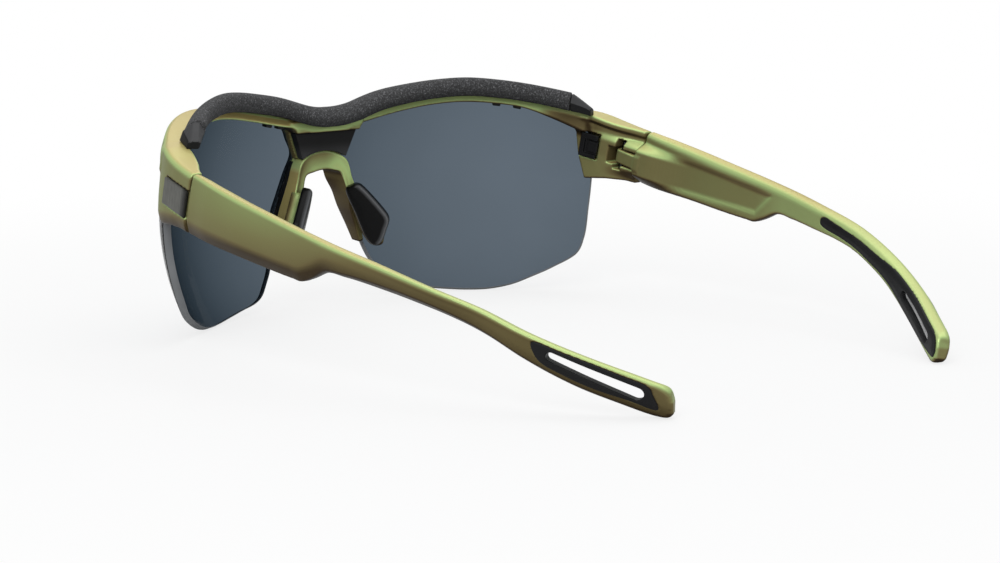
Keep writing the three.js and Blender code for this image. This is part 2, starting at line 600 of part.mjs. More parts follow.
function buildLatch() {
  const body = endPlate(LATCH_LENGTH, LATCH_HEIGHT, [0, LATCH_THICKNESS], LATCH_AT, LATCH_TURN);
  const dishHeight = LATCH_HEIGHT - 2 * LATCH_RIM;
  const dish = endPlate(LATCH_LENGTH, dishHeight, [-1, LATCH_DISH], LATCH_AT, LATCH_TURN, LATCH_RIM);
  return toGeometry(toSolid(body).subtract(toSolid(dish)));
}

// Foam, carrier and caps
const carrierBase = FOAM_SEAT;
const foamBase = carrierBase + CARRIER_THICKNESS + FOAM_SEAT;
const crown = (half, height, steps) => Array.from({ length: steps + 1 }, (_, i) => {
  const turn = (i / steps) * Math.PI;
  return [half * Math.cos(turn), height * Math.sin(turn) ** 0.8];
});
const foamSection = (station) => crown(FOAM_HALF_WIDTH, FOAM_HEIGHT, 10)
  .map(([across, up]) => [foamMiddle(station) + across, station.top + foamBase + up]);
const carrierSection = (station) => [[1, 0], [1, 1], [-1, 1], [-1, 0]].map(([across, up]) => [
  foamMiddle(station) + across * CARRIER_HALF_WIDTH, station.top + carrierBase + up * CARRIER_THICKNESS]);
const foamStations = browStations(FOAM_END);
const foam = browLoft(foamStations, foamSection);
const carrier = browLoft(foamStations, carrierSection);
const capStart = FOAM_END + FIT;
const CAP_STEPS = 4;
const cap = loft(Array.from({ length: CAP_STEPS + 1 }, (_, i) => {
  const share = i / CAP_STEPS;
  const at = THREE.MathUtils.lerp(capStart, CAP_END, share);
  const half = THREE.MathUtils.lerp(FOAM_HALF_WIDTH, CAP_HALF_WIDTH, share);
  const height = THREE.MathUtils.lerp(FOAM_HEIGHT + foamBase, CAP_END_HEIGHT, share);
  const middle = THREE.MathUtils.lerp(FOAM_BEHIND, FOAM_BEHIND + 0.6, share);
  const base = capBase(at) + FIT;
  return [[1, 0], [0.95, 0.62], [0.3, 1], [-0.5, 0.96], [-1, 0.6], [-1, 0]].map(
    ([across, up]) => browPoint(at, middle + across * half, base + up * height));
}));

// Nose bridge: rings from the tip of one arm over the saddle to the tip of the other.
function buildBridge() {
  const ring = (inner, outer, frontAt, rearInner, rearOuter) => [
    new THREE.Vector3(inner[0], rearInner, inner[1]), new THREE.Vector3(inner[0], frontAt, inner[1]),
    new THREE.Vector3(outer[0], frontAt, outer[1]), new THREE.Vector3(outer[0], rearOuter, outer[1]),
  ];
  const arm = ARM_STATIONS.map(([ix, iz, ox, oz, frontAt, rearInner, rearOuter]) =>
    ring([NASAL + ix, iz], [NASAL + ox, oz], frontAt, rearInner, rearOuter));
  const archTop = (t) => INSERT_LOW + ARCH_RISE * (1 - t * t) - 1.5 * FIT;
  const innerHalf = NASAL + ARM_STATIONS[ARM_STATIONS.length - 1][0];
  const innerLow = ARM_STATIONS[ARM_STATIONS.length - 1][1];
  const saddle = [0.62, 0.3, 0].map((t) => ring(
    [innerHalf * t * 1.05, SADDLE_LOW - (SADDLE_LOW - innerLow) * t * t], [insertLowHalf * t, archTop(t)],
    SADDLE_FRONT, SADDLE_REAR_LOW, SADDLE_REAR_TOP));
  const half = [...arm, ...saddle];
  const other = half.slice(0, -1).reverse().map((r) => r.map((p) => new THREE.Vector3(-p.x, p.y, p.z)));
  return loft([...half, ...other]);
}

// Nose pad and the holder behind it
const padOut = new THREE.Vector3().crossVectors(PAD_ACROSS, PAD_ALONG);
const padPoint = (across, along, out) => PAD_ORIGIN.clone()
  .addScaledVector(PAD_ACROSS, across).addScaledVector(PAD_ALONG, along).addScaledVector(padOut, out);
function padSolid(outline, levels) {
  const count = outline.length;
  const middle = outline.reduce(([a, b], [x, y]) => [a + x / count, b + y / count], [0, 0]);
  return loft(levels.map(([out, share]) => outline.map(
    ([x, y]) => padPoint(middle[0] + (x - middle[0]) * share, middle[1] + (y - middle[1]) * share, out))));
}
const padEdge = PAD_THICKNESS - PAD_CROWN;
const padOutline = smooth(PAD_OUTLINE, 30, true);
const pad = padSolid(padOutline, [
  [-PAD_THICKNESS, 0.9], [-PAD_THICKNESS + 0.5, 1], [-padEdge / 2, 1], [-PAD_CROWN, 0.96],
  [-0.35, 0.8], [0, 0.5],
]);
const holderFace = -PAD_THICKNESS - FIT;
const holder = padSolid(HOLDER_OUTLINE, [[holderFace, 1], [holderFace - HOLDER_THICKNESS, 1]]);

// The whole object
const worn = new THREE.Group();
const slopedGroup = new THREE.Group();
slopedGroup.rotation.x = -TEMPLE_SLOPE;
worn.add(slopedGroup);

function addPiece(name, geometry, look, group = worn) {
  const mesh = new THREE.Mesh(geometry, new THREE.MeshStandardMaterial(look));
  mesh.name = name;
  group.add(mesh);
}
function addPair(name, geometry, look, group = worn) {
  addPiece(`${name}_left`, geometry, look, group);
  addPiece(`${name}_right`, mirrored(geometry), look, group);
}

addPiece('front_frame', buildFront(), PAINT);
addPair('lens', lens, SMOKE);
addPiece('bridge_insert', insert, BLACK);
addPiece('nose_bridge', buildBridge(), PAINT);
addPair('nose_pad', pad, RUBBER);
addPair('pad_holder', holder, BLACK);
addPiece('brow_foam', foam, FOAM);
addPiece('brow_carrier', carrier, BLACK);
addPair('brow_cap', cap, BLACK);
addPair('temple', buildTemple(), PAINT, slopedGroup);
addPair('tip_grip', buildGrip(), RUBBER, slopedGroup);
addPair('hinge_pin', round(pinX, PIN_ALONG, PIN_RADIUS, pinLow + 0.1, pinTop - 0.1), STEEL, slopedGroup);
addPair('lens_latch', buildLatch(), BLACK, slopedGroup);
addPair('badge_plate', badgePlate, PLATE, slopedGroup);

// Laid down: the group turns until the lenses and temple tips touch the table, then stands over the origin.
const standing = new THREE.Group();
standing.add(worn);
standing.updateMatrixWorld(true);
const corners = [];
worn.traverse((mesh) => {
  if (!mesh.isMesh) return;
  const place = mesh.geometry.getAttribute('position');
  for (let i = 0; i < place.count; i += 1) {
    corners.push(new THREE.Vector3().fromBufferAttribute(place, i).applyMatrix4(mesh.matrixWorld));
  }
});
const SETTLE_STEPS = 12;
let pitch = 0;
for (let i = 0; i < SETTLE_STEPS; i += 1) {
  const height = (p) => p.y * Math.sin(pitch) + p.z * Math.cos(pitch);
  const lowest = (list) => list.reduce((a, b) => (height(b) < height(a) ? b : a));
  const ahead = lowest(corners.filter((p) => p.y < 0));
  const behind = lowest(corners.filter((p) => p.y >= 0));
  pitch = -Math.atan2(behind.z - ahead.z, behind.y - ahead.y);
}
worn.rotation.x = pitch;
standing.updateMatrixWorld(true);
const box = new THREE.Box3().setFromObject(worn, true);
worn.position.set(0, -(box.min.y + box.max.y) / 2, -box.min.z);

export default standing;
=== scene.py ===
# %% [markdown]
# # Sports sunglasses
# A wrap-round pair of sports sunglasses stands open on a white table, seen from behind. The frame file
# fixes every size and joint, and this lesson gives each piece its rounded form and its finish. All sizes
# are in millimetres in the worn position: X runs across the face, Y runs from the front backwards, Z is
# up.

# %% Load the frame
import itertools
import json
import math

import bpy
import numpy as np
from mathutils import Matrix, Vector


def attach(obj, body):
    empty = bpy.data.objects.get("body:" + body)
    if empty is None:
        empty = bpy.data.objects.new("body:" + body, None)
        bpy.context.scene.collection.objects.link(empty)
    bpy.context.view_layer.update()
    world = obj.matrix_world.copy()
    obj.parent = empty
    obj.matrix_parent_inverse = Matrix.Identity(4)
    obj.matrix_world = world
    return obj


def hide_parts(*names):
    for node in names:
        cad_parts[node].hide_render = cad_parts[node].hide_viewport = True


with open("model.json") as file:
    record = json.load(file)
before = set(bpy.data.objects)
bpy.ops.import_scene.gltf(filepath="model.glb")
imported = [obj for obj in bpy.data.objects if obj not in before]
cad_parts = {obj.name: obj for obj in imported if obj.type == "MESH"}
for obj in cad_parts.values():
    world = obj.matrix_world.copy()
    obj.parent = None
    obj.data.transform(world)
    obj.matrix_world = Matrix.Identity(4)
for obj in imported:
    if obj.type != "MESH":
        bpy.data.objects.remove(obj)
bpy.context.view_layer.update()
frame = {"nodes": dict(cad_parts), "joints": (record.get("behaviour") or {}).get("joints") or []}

# %% [markdown]
# ## From the worn position to the table
# The sunglasses are drawn as they sit on a face and then tip forward until they rest on the table. The
# frame file knows where that leaves the left hinge pin, so the pin's axis and its place give the turn and
# the move.

# %% Worn position and table position
MM = 0.001
HALF = 70.0
SLOPE = math.radians(7.9)
PIN_INSIDE, PIN_ALONG, PIN_UP = 4.2, -4.9, -7.5
HINGE = next(joint for joint in frame["joints"] if joint["name"] == "temple_left_fold")


def from_slope(along, up):
    """Turns lengths along and square to a temple's fall into worn Y and Z."""
    y = along * math.cos(SLOPE) + up * math.sin(SLOPE)
    z = up * math.cos(SLOPE) - along * math.sin(SLOPE)
    return y, z


def to_slope(y, z):
    """The way back: worn Y and Z into lengths along and square to a temple's fall."""
    return y * math.cos(SLOPE) - z * math.sin(SLOPE), y * math.sin(SLOPE) + z * math.cos(SLOPE)


TIP = SLOPE - math.atan2(HINGE["axis"][1], HINGE["axis"][2])
PIN_Y, PIN_Z = from_slope(PIN_ALONG, PIN_UP)
MOVE_Y = HINGE["pos_m"][1] / MM - (PIN_Y * math.cos(TIP) - PIN_Z * math.sin(TIP))
MOVE_Z = HINGE["pos_m"][2] / MM - (PIN_Y * math.sin(TIP) + PIN_Z * math.cos(TIP))


def on_table(points):
    """Worn millimetres to metres on the table: a turn about X by TIP, then the move."""
    x, y, z = np.moveaxis(np.asarray(points, dtype=float), -1, 0)
    return MM * np.stack([x, y * math.cos(TIP) - z * math.sin(TIP) + MOVE_Y,
                          y * math.sin(TIP) + z * math.cos(TIP) + MOVE_Z], axis=-1)


print("tip", round(math.degrees(TIP), 3), "move", round(MOVE_Y, 3), round(MOVE_Z, 3))

# %% [markdown]
# ## Camera
# The picture is taken from behind the wearer's left shoulder with a long lens. Looking from a measured
# point along a measured direction keeps the view the same for every render.

# %% Camera
EYE = np.array([391.70, 422.88, 100.96])
LOOK = np.array([-0.68142, -0.69809, -0.21985])
CAMERA_UP = np.array([-0.10251, -0.20640, 0.97308])
FOCUS_PIXELS, PICTURE_WIDTH = 2600, 1000
SENSOR_WIDTH, FAR_CLIP = 36, 50

origin = on_table(np.zeros(3))
look, upward = ((on_table(way) - origin) / MM for way in (LOOK, CAMERA_UP))
right = np.cross(look, upward)
turned = np.stack([right / np.linalg.norm(right), upward, -look], axis=1)
camera_data = bpy.data.cameras.new("camera")
camera_data.sensor_width = SENSOR_WIDTH
camera_data.lens = FOCUS_PIXELS / PICTURE_WIDTH * SENSOR_WIDTH
camera_data.clip_end = FAR_CLIP
camera = bpy.data.objects.new("camera", camera_data)
camera.matrix_world = Matrix.Translation(Vector(on_table(EYE))) @ Matrix(turned.tolist()).to_4x4()
bpy.context.collection.objects.link(camera)
bpy.context.scene.camera = camera
print("lens", camera_data.lens, "eye", on_table(EYE).round(4))

# %% [markdown]
# ## Lines and tables
# A moulded shape is drawn with few points, and smooth curves run through them. Two helpers do that: one
# for lines in the plane and one for a value that changes along a length.

# %% Smooth lines and tables
def smooth_line(points, count, closed=False):
    """A cubic between each two points, bent by their neighbours, with knots at the chords' roots."""
    p = np.asarray(points, dtype=float)
    p = np.vstack([p[-1:], p, p[:2]] if closed else [2 * p[:1] - p[1:2], p, 2 * p[-1:] - p[-2:-1]])
    knots = np.concatenate([[0], np.cumsum(np.linalg.norm(np.diff(p, axis=0), axis=1) ** 0.5)])
    at = np.linspace(knots[1], knots[-2], count, endpoint=not closed)
    i = np.clip(np.searchsorted(knots, at, side="right") - 1, 1, len(p) - 3)
    t = [knots[i + k][:, None] for k in (-1, 0, 1, 2)]
    q = [p[i + k] for k in (-1, 0, 1, 2)]
    at = at[:, None]

    def mix(a, b, ta, tb):
        return ((tb - at) * a + (at - ta) * b) / (tb - ta)

    a, b, c = (mix(q[k], q[k + 1], t[k], t[k + 1]) for k in range(3))
    return mix(mix(a, b, t[0], t[2]), mix(b, c, t[1], t[3]), t[1], t[2])


def table(at, rows):
    """A value read from rows of (place, value): a cubic between rows whose slopes are those around it."""
    rows = np.asarray(sorted(rows), dtype=float)
    x, v = rows[:, 0], rows[:, 1]
    slope = np.gradient(v, x)
    at = np.clip(at, x[0], x[-1])
    i = np.clip(np.searchsorted(x, at, side="right") - 1, 0, len(x) - 2)
    gap = x[i + 1] - x[i]
    t = (at - x[i]) / gap
    bend = gap * t * (t - 1) * ((t - 1) * slope[i] + t * slope[i + 1])
    return ((2 * t - 3) * t * t + 1) * v[i] + (3 - 2 * t) * t * t * v[i + 1] + bend


def ease(value, start, end):
    """0 before start, 1 after end, and an S between them."""
    t = np.clip((value - start) / (end - start), 0, 1)
    return t * t * (3 - 2 * t)


print("halfway on a test line", smooth_line([(0, 0), (1, 1), (2, 0)], 5)[2])

# %% [markdown]
# ## Mesh helpers
# Every piece becomes one mesh with its place in its points. The helper takes arrays of points and faces,
# turns the faces outwards by the sign of the volume they enclose, and ties the piece to the body it rides
# on.

# %% Putting arrays into a mesh
def grid_faces(rows, columns):
    """Quads between neighbours on rows of points, with the last column joined to the first."""
    i = np.arange(rows - 1)[:, None]
    j = np.arange(columns)[None, :]
    a, b = i * columns + j, i * columns + (j + 1) % columns
    return np.stack([a, b, b + columns, a + columns], axis=-1).reshape(-1, 4)


def volume(points, faces):
    """Six times the volume: the sum of the triple products of each face's fan of triangles."""
    p = points[faces]
    crosses = [np.cross(p[:, k], p[:, k + 1]) for k in range(1, faces.shape[1] - 1)]
    return float(np.sum([np.einsum("ij,ij->i", p[:, 0], cross) for cross in crosses]))


def put(name, points, face_sets, finishes, body, nodes=(), slot=None, soft=False, marks=None):
    """Builds the mesh of a piece from worn points and one list of face arrays for each finish."""
    points = on_table(points)
    turn = sum(volume(points - points.mean(axis=0), faces) for group in face_sets for faces in group) < 0
    mesh = bpy.data.meshes.new(name)
    mesh.vertices.add(len(points))
    mesh.vertices.foreach_set("co", points.ravel())
    loops, starts, indices, total = [], [], [], 0
    for number, group in enumerate(face_sets):
        for faces in group:
            loops.append((faces[:, ::-1] if turn else faces).ravel())
            starts.append(total + np.arange(len(faces)) * faces.shape[1])
            indices.append(np.full(len(faces), number))
            total += faces.size
    starts, indices = np.concatenate(starts), np.concatenate(indices)
    mesh.loops.add(total)
    mesh.loops.foreach_set("vertex_index", np.concatenate(loops).astype(np.int32))
    mesh.polygons.add(len(starts))
    mesh.polygons.foreach_set("loop_start", starts.astype(np.int32))
    mesh.polygons.foreach_set("material_index", indices.astype(np.int32))
    mesh.update(calc_edges=True)
    mesh.shade_smooth()
    for key, values in (marks or {}).items():
        mark = mesh.attributes.new(key, "FLOAT", "POINT")
        mark.data.foreach_set("value", np.asarray(values, dtype=np.float32))
    for finish in finishes:
        mesh.materials.append(finish)
    piece = bpy.data.objects.new(name, mesh)
    bpy.context.collection.objects.link(piece)
    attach(piece, body)
    if nodes:
        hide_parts(*nodes)
    print(name, len(points), "points,", len(starts), "faces")
    return piece


def both(name, points, face_sets, finishes, body, solid=None, **facts):
    """Puts a left piece, and its mirror image as the right one."""
    pieces = []
    for side, sign in (("left", 1), ("right", -1)):
        nodes = [f"{solid}_{side}"] if solid else ()
        pieces.append(put(f"{name}_{side}", points * (sign, 1, 1), face_sets, finishes,
                          body.replace("SIDE", side), nodes, **facts))
    return pieces


# %% [markdown]
# ## Shapes from distance fields
# The painted mouldings flow into each other with soft edges and fillets. One way to model that is
# subdivision surfaces with many support loops. Here each moulding is a field instead: at every point of a
# grid it holds roughly how far outside the surface that point is. Two fields join with a fillet or cut
# with a rounded edge in one line, and a surface net then turns the field into quads.

# %% Joining and cutting fields
def round_cut(a, b, radius):
    """The space inside both fields, its edge rounded: past both offset faces, a quarter circle."""
    corner = np.hypot(np.maximum(a + radius, 0), np.maximum(b + radius, 0))
    return np.minimum(np.maximum(a, b), -radius) + corner


def round_join(a, b, radius):
    """The space inside either field, with a fillet of that radius where they meet."""
    return -round_cut(-a, -b, radius)


def box(dx, dy, dz, half, radius):
    """A box with round edges: the distance to a smaller box, less the radius."""
    q = [np.abs(d) - size + radius for d, size in zip((dx, dy, dz), half)]
    outside = np.sqrt(sum(np.maximum(side, 0) ** 2 for side in q))
    return outside + np.minimum(np.maximum(np.maximum(q[0], q[1]), q[2]), 0) - radius


def outline(x, y, corners):
    """Distance to a closed outline: the least distance to any of its sides, negative inside."""
    a = np.asarray(corners, dtype=float)
    x, y = np.broadcast_arrays(x, y)
    least, inside = np.full(x.shape, np.inf), np.zeros(x.shape, dtype=bool)
    for (ax, ay), (bx, by) in zip(a, np.roll(a, -1, axis=0)):
        ex, ey = bx - ax, by - ay
        t = np.clip(((x - ax) * ex + (y - ay) * ey) / (ex * ex + ey * ey), 0, 1)
        least = np.minimum(least, (x - ax - t * ex) ** 2 + (y - ay - t * ey) ** 2)
        if ey:
            inside ^= ((ay > y) != (by > y)) & (x < ex * (y - ay) / ey + ax)
    return np.where(inside, -1, 1) * np.sqrt(least)


def grid(starts, steps, counts):
    """The three axes of a straight grid, ready to be combined."""
    return np.ix_(*[start + step * np.arange(count) for start, step, count in zip(starts, steps, counts)])


# %% From a field to a mesh
def skin(field, axes):
    """A surface net: one point in each grid cell that the surface crosses, at the mean of its crossings
    on the cell's edges, and one quad round each grid edge that the surface crosses, turned towards the
    outside. The axes give the places of the grid, which may lie closer together where the shape is
    fine."""
    inside = field < 0
    size = np.array(field.shape) - 1
    corners = list(itertools.product((0, 1), repeat=3))
    filled = np.zeros(size, dtype=np.int8)
    for corner in corners:
        filled += inside[tuple(slice(o, o + s) for o, s in zip(corner, size))]
    active = (filled > 0) & (filled < 8)
    number = np.full(active.shape, -1)
    number[active] = np.arange(active.sum())
    cells = np.argwhere(active)
    total, count = np.zeros(cells.shape), np.zeros(len(cells))
    for a, b in itertools.combinations(np.array(corners), 2):
        if np.abs(a - b).sum() == 1:
            fa, fb = field[tuple((cells + a).T)], field[tuple((cells + b).T)]
            crossed = (fa < 0) != (fb < 0)
            share = np.where(crossed, fa / np.where(crossed, fa - fb, 1), 0)
            total += np.where(crossed[:, None], a + share[:, None] * (b - a), 0)
            count += crossed
    spots = (cells + total / count[:, None]).T
    places = [np.interp(spot, np.arange(axis.size), axis.ravel()) for spot, axis in zip(spots, axes)]
    quads = []
    for axis in range(3):
        second, third = (axis + 1) % 3, (axis + 2) % 3
        low, high = [slice(1, -1)] * 3, [slice(1, -1)] * 3
        low[axis], high[axis] = slice(0, -1), slice(1, None)
        edges = np.argwhere(inside[tuple(low)] != inside[tuple(high)])
        edges[:, [second, third]] += 1
        around = []
        for back_second, back_third in ((1, 1), (0, 1), (0, 0), (1, 0)):
            cell = edges.copy()
            cell[:, second] -= back_second
            cell[:, third] -= back_third
            around.append(number[tuple(cell.T)])
        quad = np.stack(around, axis=1)
        leaving = inside[tuple(edges.T)]
        quads.append(np.where(leaving[:, None], quad, quad[:, ::-1]))
    return np.stack(places, axis=1), np.concatenate(quads)


def relax(points, faces, passes):
    """Each pass moves every point half way to the mean of its neighbours and then slightly further back,
    which takes out the grid's steps and keeps the size."""
    a, b = faces.ravel(), np.roll(faces, -1, axis=1).ravel()
    size = len(points)
    count = np.bincount(a, minlength=size) + np.bincount(b, minlength=size)
    for share in [0.5, -0.53] * passes:
        total = [np.bincount(a, points[b, k], size) + np.bincount(b, points[a, k], size) for k in range(3)]
        points = points + share * (np.stack(total, axis=1) / count[:, None] - points)
    return points


ball_axes = np.ix_(*[np.arange(-1.5, 1.6, 0.25)] * 3)
ball_points, ball_faces = skin(np.sqrt(sum(axis ** 2 for axis in ball_axes)) - 1, ball_axes)
print("test ball, volume", round(volume(ball_points, ball_faces) / 6, 2), "of", round(4 / 3 * math.pi, 2))

# %% [markdown]
# ## Finishes
# The frame is painted in a colour-shift paint: olive on upright faces, mint where a face tips up, gold on
# top and brown underneath. The lean of the surface drives a colour ramp, which looks the same from every
# side. The ramp is partly the paint's own shift of hue and partly painted light: the dark brown underneath
# is painted shade, and the bright mint and gold of upward faces and bevels are painted highlight. A mark
# on the points can push the ramp lighter or darker, as painted light and shade. A shared grain group adds
# the fine unevenness that all the moulded pieces have.

# %% Node helpers
def finish_nodes(name):
    """A new material, its node tree and its Principled shader."""
    material = bpy.data.materials.new(name)
    material.use_nodes = True
    tree = material.node_tree
    return material, tree, tree.nodes["Principled BSDF"]


def feed(made, inputs):
    """Feeds a node's sockets: each input is another node's output or a plain value."""
    for key, source in inputs.items():
        if isinstance(source, bpy.types.NodeSocket):
            made.id_data.links.new(source, made.inputs[key])
        else:
            made.inputs[key].default_value = source


def node(tree, kind, inputs=(), **settings):
    """Adds a node, sets its properties and feeds its sockets."""
    made = tree.nodes.new(kind)
    for key, value in settings.items():
        setattr(made, key, value)
    feed(made, dict(inputs))
    return made


def shader(principled, **inputs):
    """Feeds the shader's own sockets."""
    feed(principled, {key.replace("_", " "): source for key, source in inputs.items()})


def place_on(tree):
    """The object's own coordinates."""
    return node(tree, "ShaderNodeTexCoord").outputs["Object"]


def mark_on(tree):
    """The mark on the points."""
    return node(tree, "ShaderNodeAttribute", attribute_name="shade").outputs["Fac"]


def sums(tree, operation, *inputs):
    """A math node's result."""
    return node(tree, "ShaderNodeMath", enumerate(inputs), operation=operation).outputs[0]


def stretch(tree, source, low, high, start=0.0, end=1.0, **settings):
    """A value that runs from start to end, stretched to run from low to high."""
    inputs = {"Value": source, "From Min": start, "From Max": end, "To Min": low, "To Max": high}
    return node(tree, "ShaderNodeMapRange", inputs, **settings).outputs[0]


def noise(tree, place, scale, **inputs):
    """A noise texture's value."""
    return node(tree, "ShaderNodeTexNoise", {"Vector": place, "Scale": scale, **inputs}).outputs["Fac"]


def bump(tree, height, depth, strength=1.0, **over):
    """The normal after a bump of that depth, laid over an earlier bump's Normal where one is given."""
    inputs = {"Strength": strength, "Distance": depth, "Height": height, **over}
    return node(tree, "ShaderNodeBump", inputs).outputs["Normal"]


def seen(red, green, blue):
    """Screen values from 0 to 255 as linear light."""
    share = np.array([red, green, blue]) / 255
    return tuple(np.where(share <= 0.04045, share / 12.92, ((share + 0.055) / 1.055) ** 2.4))


def ramp(tree, source, stops):
    """The colour of a ramp with stops of (place, red, green, blue) in 0 to 255 as seen on a screen."""
    made = node(tree, "ShaderNodeValToRGB", {"Fac": source})
    while len(made.color_ramp.elements) < len(stops):
        made.color_ramp.elements.new(0.5)
    for element, (place, *rgb) in zip(made.color_ramp.elements, stops):
        element.position = place
        element.color = (*seen(*rgb), 1)
    return made.outputs["Color"]


print("middle grey as light", np.round(seen(128, 128, 128), 3))

# %% Grain, shared by the moulded pieces
grain = bpy.data.node_groups.new("moulded_grain", "ShaderNodeTree")
for socket, start in (("Scale", 4000.0), ("Roughness", 0.4), ("Spread", 0.1)):
    grain.interface.new_socket(socket, in_out="INPUT", socket_type="NodeSocketFloat").default_value = start
for socket in ("Roughness", "Height", "Mottle"):
    grain.interface.new_socket(socket, in_out="OUTPUT", socket_type="NodeSocketFloat")
grain_in, grain_out = node(grain, "NodeGroupInput").outputs, node(grain, "NodeGroupOutput")
grain_place = place_on(grain)
fine = noise(grain, grain_place, grain_in["Scale"], Detail=3.0, Roughness=0.6)
broad = noise(grain, grain_place, 90.0, Detail=2.0)
uneven = sums(grain, "SUBTRACT", sums(grain, "ADD", fine, broad), 1.0)
rough = sums(grain, "MULTIPLY_ADD", uneven, grain_in["Spread"], grain_in["Roughness"])
feed(grain_out, {"Roughness": rough, "Height": fine, "Mottle": broad})
print("group", grain.name)


def add_grain(tree, principled, scale, roughness, spread, depth):
    """Places the grain group in a material: its roughness, and a bump of a depth in millimetres."""
    inputs = {"Scale": scale, "Roughness": roughness, "Spread": spread}
    group = node(tree, "ShaderNodeGroup", inputs, node_tree=grain).outputs
    shader(principled, Roughness=group["Roughness"], Normal=bump(tree, group["Height"], depth * MM))
    return group


# %% Colour-shift paint and painted light
# The stops are partly the paint's hue shift and partly painted light: dark brown underneath is painted shade,
# bright mint and gold on upward faces are painted highlight.
PAINT_AND_SHADE_STOPS = [(0.00, 34, 26, 15), (0.28, 63, 50, 30), (0.42, 112, 101, 66), (0.50, 131, 128, 84),
               (0.60, 151, 162, 107), (0.72, 179, 204, 134), (0.88, 198, 213, 141), (0.955, 202, 196, 130),
               (1.00, 195, 177, 113)]

paint, tree, principled = finish_nodes("frame_paint")
facing = node(tree, "ShaderNodeSeparateXYZ", {0: node(tree, "ShaderNodeTexCoord").outputs["Normal"]})
lean_share = stretch(tree, facing.outputs["Z"], 0.0, 1.0, -1.0, 1.0)
tone = ramp(tree, sums(tree, "SUBTRACT", lean_share, mark_on(tree)), PAINT_AND_SHADE_STOPS)
flake = add_grain(tree, principled, 5200.0, 0.38, 0.12, 0.002)
fleck = stretch(tree, flake["Height"], 0.95, 1.05)
toned = node(tree, "ShaderNodeMix", {0: 1.0, 6: tone, 7: fleck}, data_type="RGBA", blend_type="MULTIPLY")
shader(principled, Base_Color=toned.outputs[2], Metallic=0.35, Coat_Weight=0.03, Coat_Roughness=0.3,
       Specular_IOR_Level=0.07)
print("paint with", len(PAINT_AND_SHADE_STOPS), "stops")

# %% Darkening by a mark on the points, shared by the foam, the badge, the insert and the pads
darken = bpy.data.node_groups.new("darken_by_mark", "ShaderNodeTree")
darken.interface.new_socket("Color", in_out="INPUT", socket_type="NodeSocketColor")
darken.interface.new_socket("Depth", in_out="INPUT", socket_type="NodeSocketFloat").default_value = 0.5
darken.interface.new_socket("Color", in_out="OUTPUT", socket_type="NodeSocketColor")
darken_in, darken_out = node(darken, "NodeGroupInput").outputs, node(darken, "NodeGroupOutput")
mark_depth = sums(darken, "MULTIPLY", mark_on(darken), darken_in["Depth"])
darker = node(darken, "ShaderNodeMix", {0: mark_depth, 6: darken_in["Color"], 7: (0, 0, 0, 1)},
              data_type="RGBA")
feed(darken_out, {"Color": darker.outputs[2]})
print("group", darken.name)


def add_dark(tree, colour, depth):
    """Places the darkening group after a colour."""
    return node(tree, "ShaderNodeGroup", {"Color": colour, "Depth": depth}, node_tree=darken).outputs["Color"]


# %% Black plastic, rubber and steel
def dark_finish(name, low, high, scale, roughness, spread, depth, darkening=0, **values):
    """A moulded finish in greys: the broad mottle runs between two tones, and the fine grain makes gloss
    uneven. Where darkening is given, marked points are darker by that share."""
    material, tree, principled = finish_nodes(name)
    group = add_grain(tree, principled, scale, roughness, spread, depth)
    colour = ramp(tree, group["Mottle"], [(0.3, *low), (0.7, *high)])
    if darkening:
        colour = add_dark(tree, colour, darkening)
    shader(principled, Base_Color=colour, **values)
    return material


DULL = dict(Specular_IOR_Level=0.15)
MOULDED = (3000.0, 0.42, 0.16, 0.006)
black_plastic = dark_finish("black_plastic", (20, 20, 21), (27, 27, 28), *MOULDED, **DULL)
soft_rubber = dark_finish("soft_rubber", (24, 24, 25), (32, 32, 33), 4500.0, 0.5, 0.16, 0.010, **DULL)
# The pad rubber is pale, and marks darken all of it but the round rear edge, which stays pale as a painted
# highlight.
pad_rubber = dark_finish("pad_rubber", (98, 99, 101), (106, 107, 109), 3500.0, 0.3, 0.1, 0.004,
                         darkening=0.98, Specular_IOR_Level=0.14)
pin_steel = dark_finish("pin_steel", (60, 60, 62), (92, 92, 95), 1500.0, 0.3, 0.2, 0.006, Metallic=1.0)
# Painted sheen: the lens's dark edge gets a light grey for the light it catches.
lens_edge_sheen = dark_finish("lens_edge_sheen", (106, 108, 110), (124, 126, 128), 2000.0, 0.4, 0.1, 0.004, **DULL)
# Painted shade and light: the insert's black is paler, and marks darken its top.
insert_plastic = dark_finish("insert_plastic", (46, 46, 47), (56, 56, 57), *MOULDED, darkening=0.8, **DULL)
# Painted light: a paler black for the caps' roofs, for the light on top.
cap_lit_roof = dark_finish("cap_lit_roof", (60, 60, 61), (72, 72, 73), *MOULDED, **DULL)
# Painted light: a pale grey for the right tip slot's deep wall, standing for the light that comes through the
# slot.
slot_painted_light = dark_finish("slot_painted_light", (196, 196, 196), (214, 214, 214), 3000.0, 0.5, 0.16, 0.006, **DULL)
print("dark finishes made")

# %% [markdown]
# The lenses are tinted through and through, so the smoke is an absorbing volume, and the surface adds a
# slight grey of its own. Foam gets pores and cells from two textures, and the badge a stretched noise for
# its brushing.

# %% Smoke lens
SMOKE_TINT, SMOKE_DENSITY = (0.26, 0.34, 0.38, 1), 916.0

lens_smoke, tree, principled = finish_nodes("lens_smoke")
tint = ramp(tree, noise(tree, place_on(tree), 30.0), [(0.3, 154, 162, 172), (0.7, 160, 168, 179)])
shader(principled, Base_Color=tint, Roughness=0.0, IOR=1.05, Transmission_Weight=1.0)
smoke = node(tree, "ShaderNodeVolumeAbsorption", {"Color": SMOKE_TINT, "Density": SMOKE_DENSITY})
feed(tree.nodes["Material Output"], {"Volume": smoke.outputs[0]})
print("lens finish made, density", SMOKE_DENSITY)

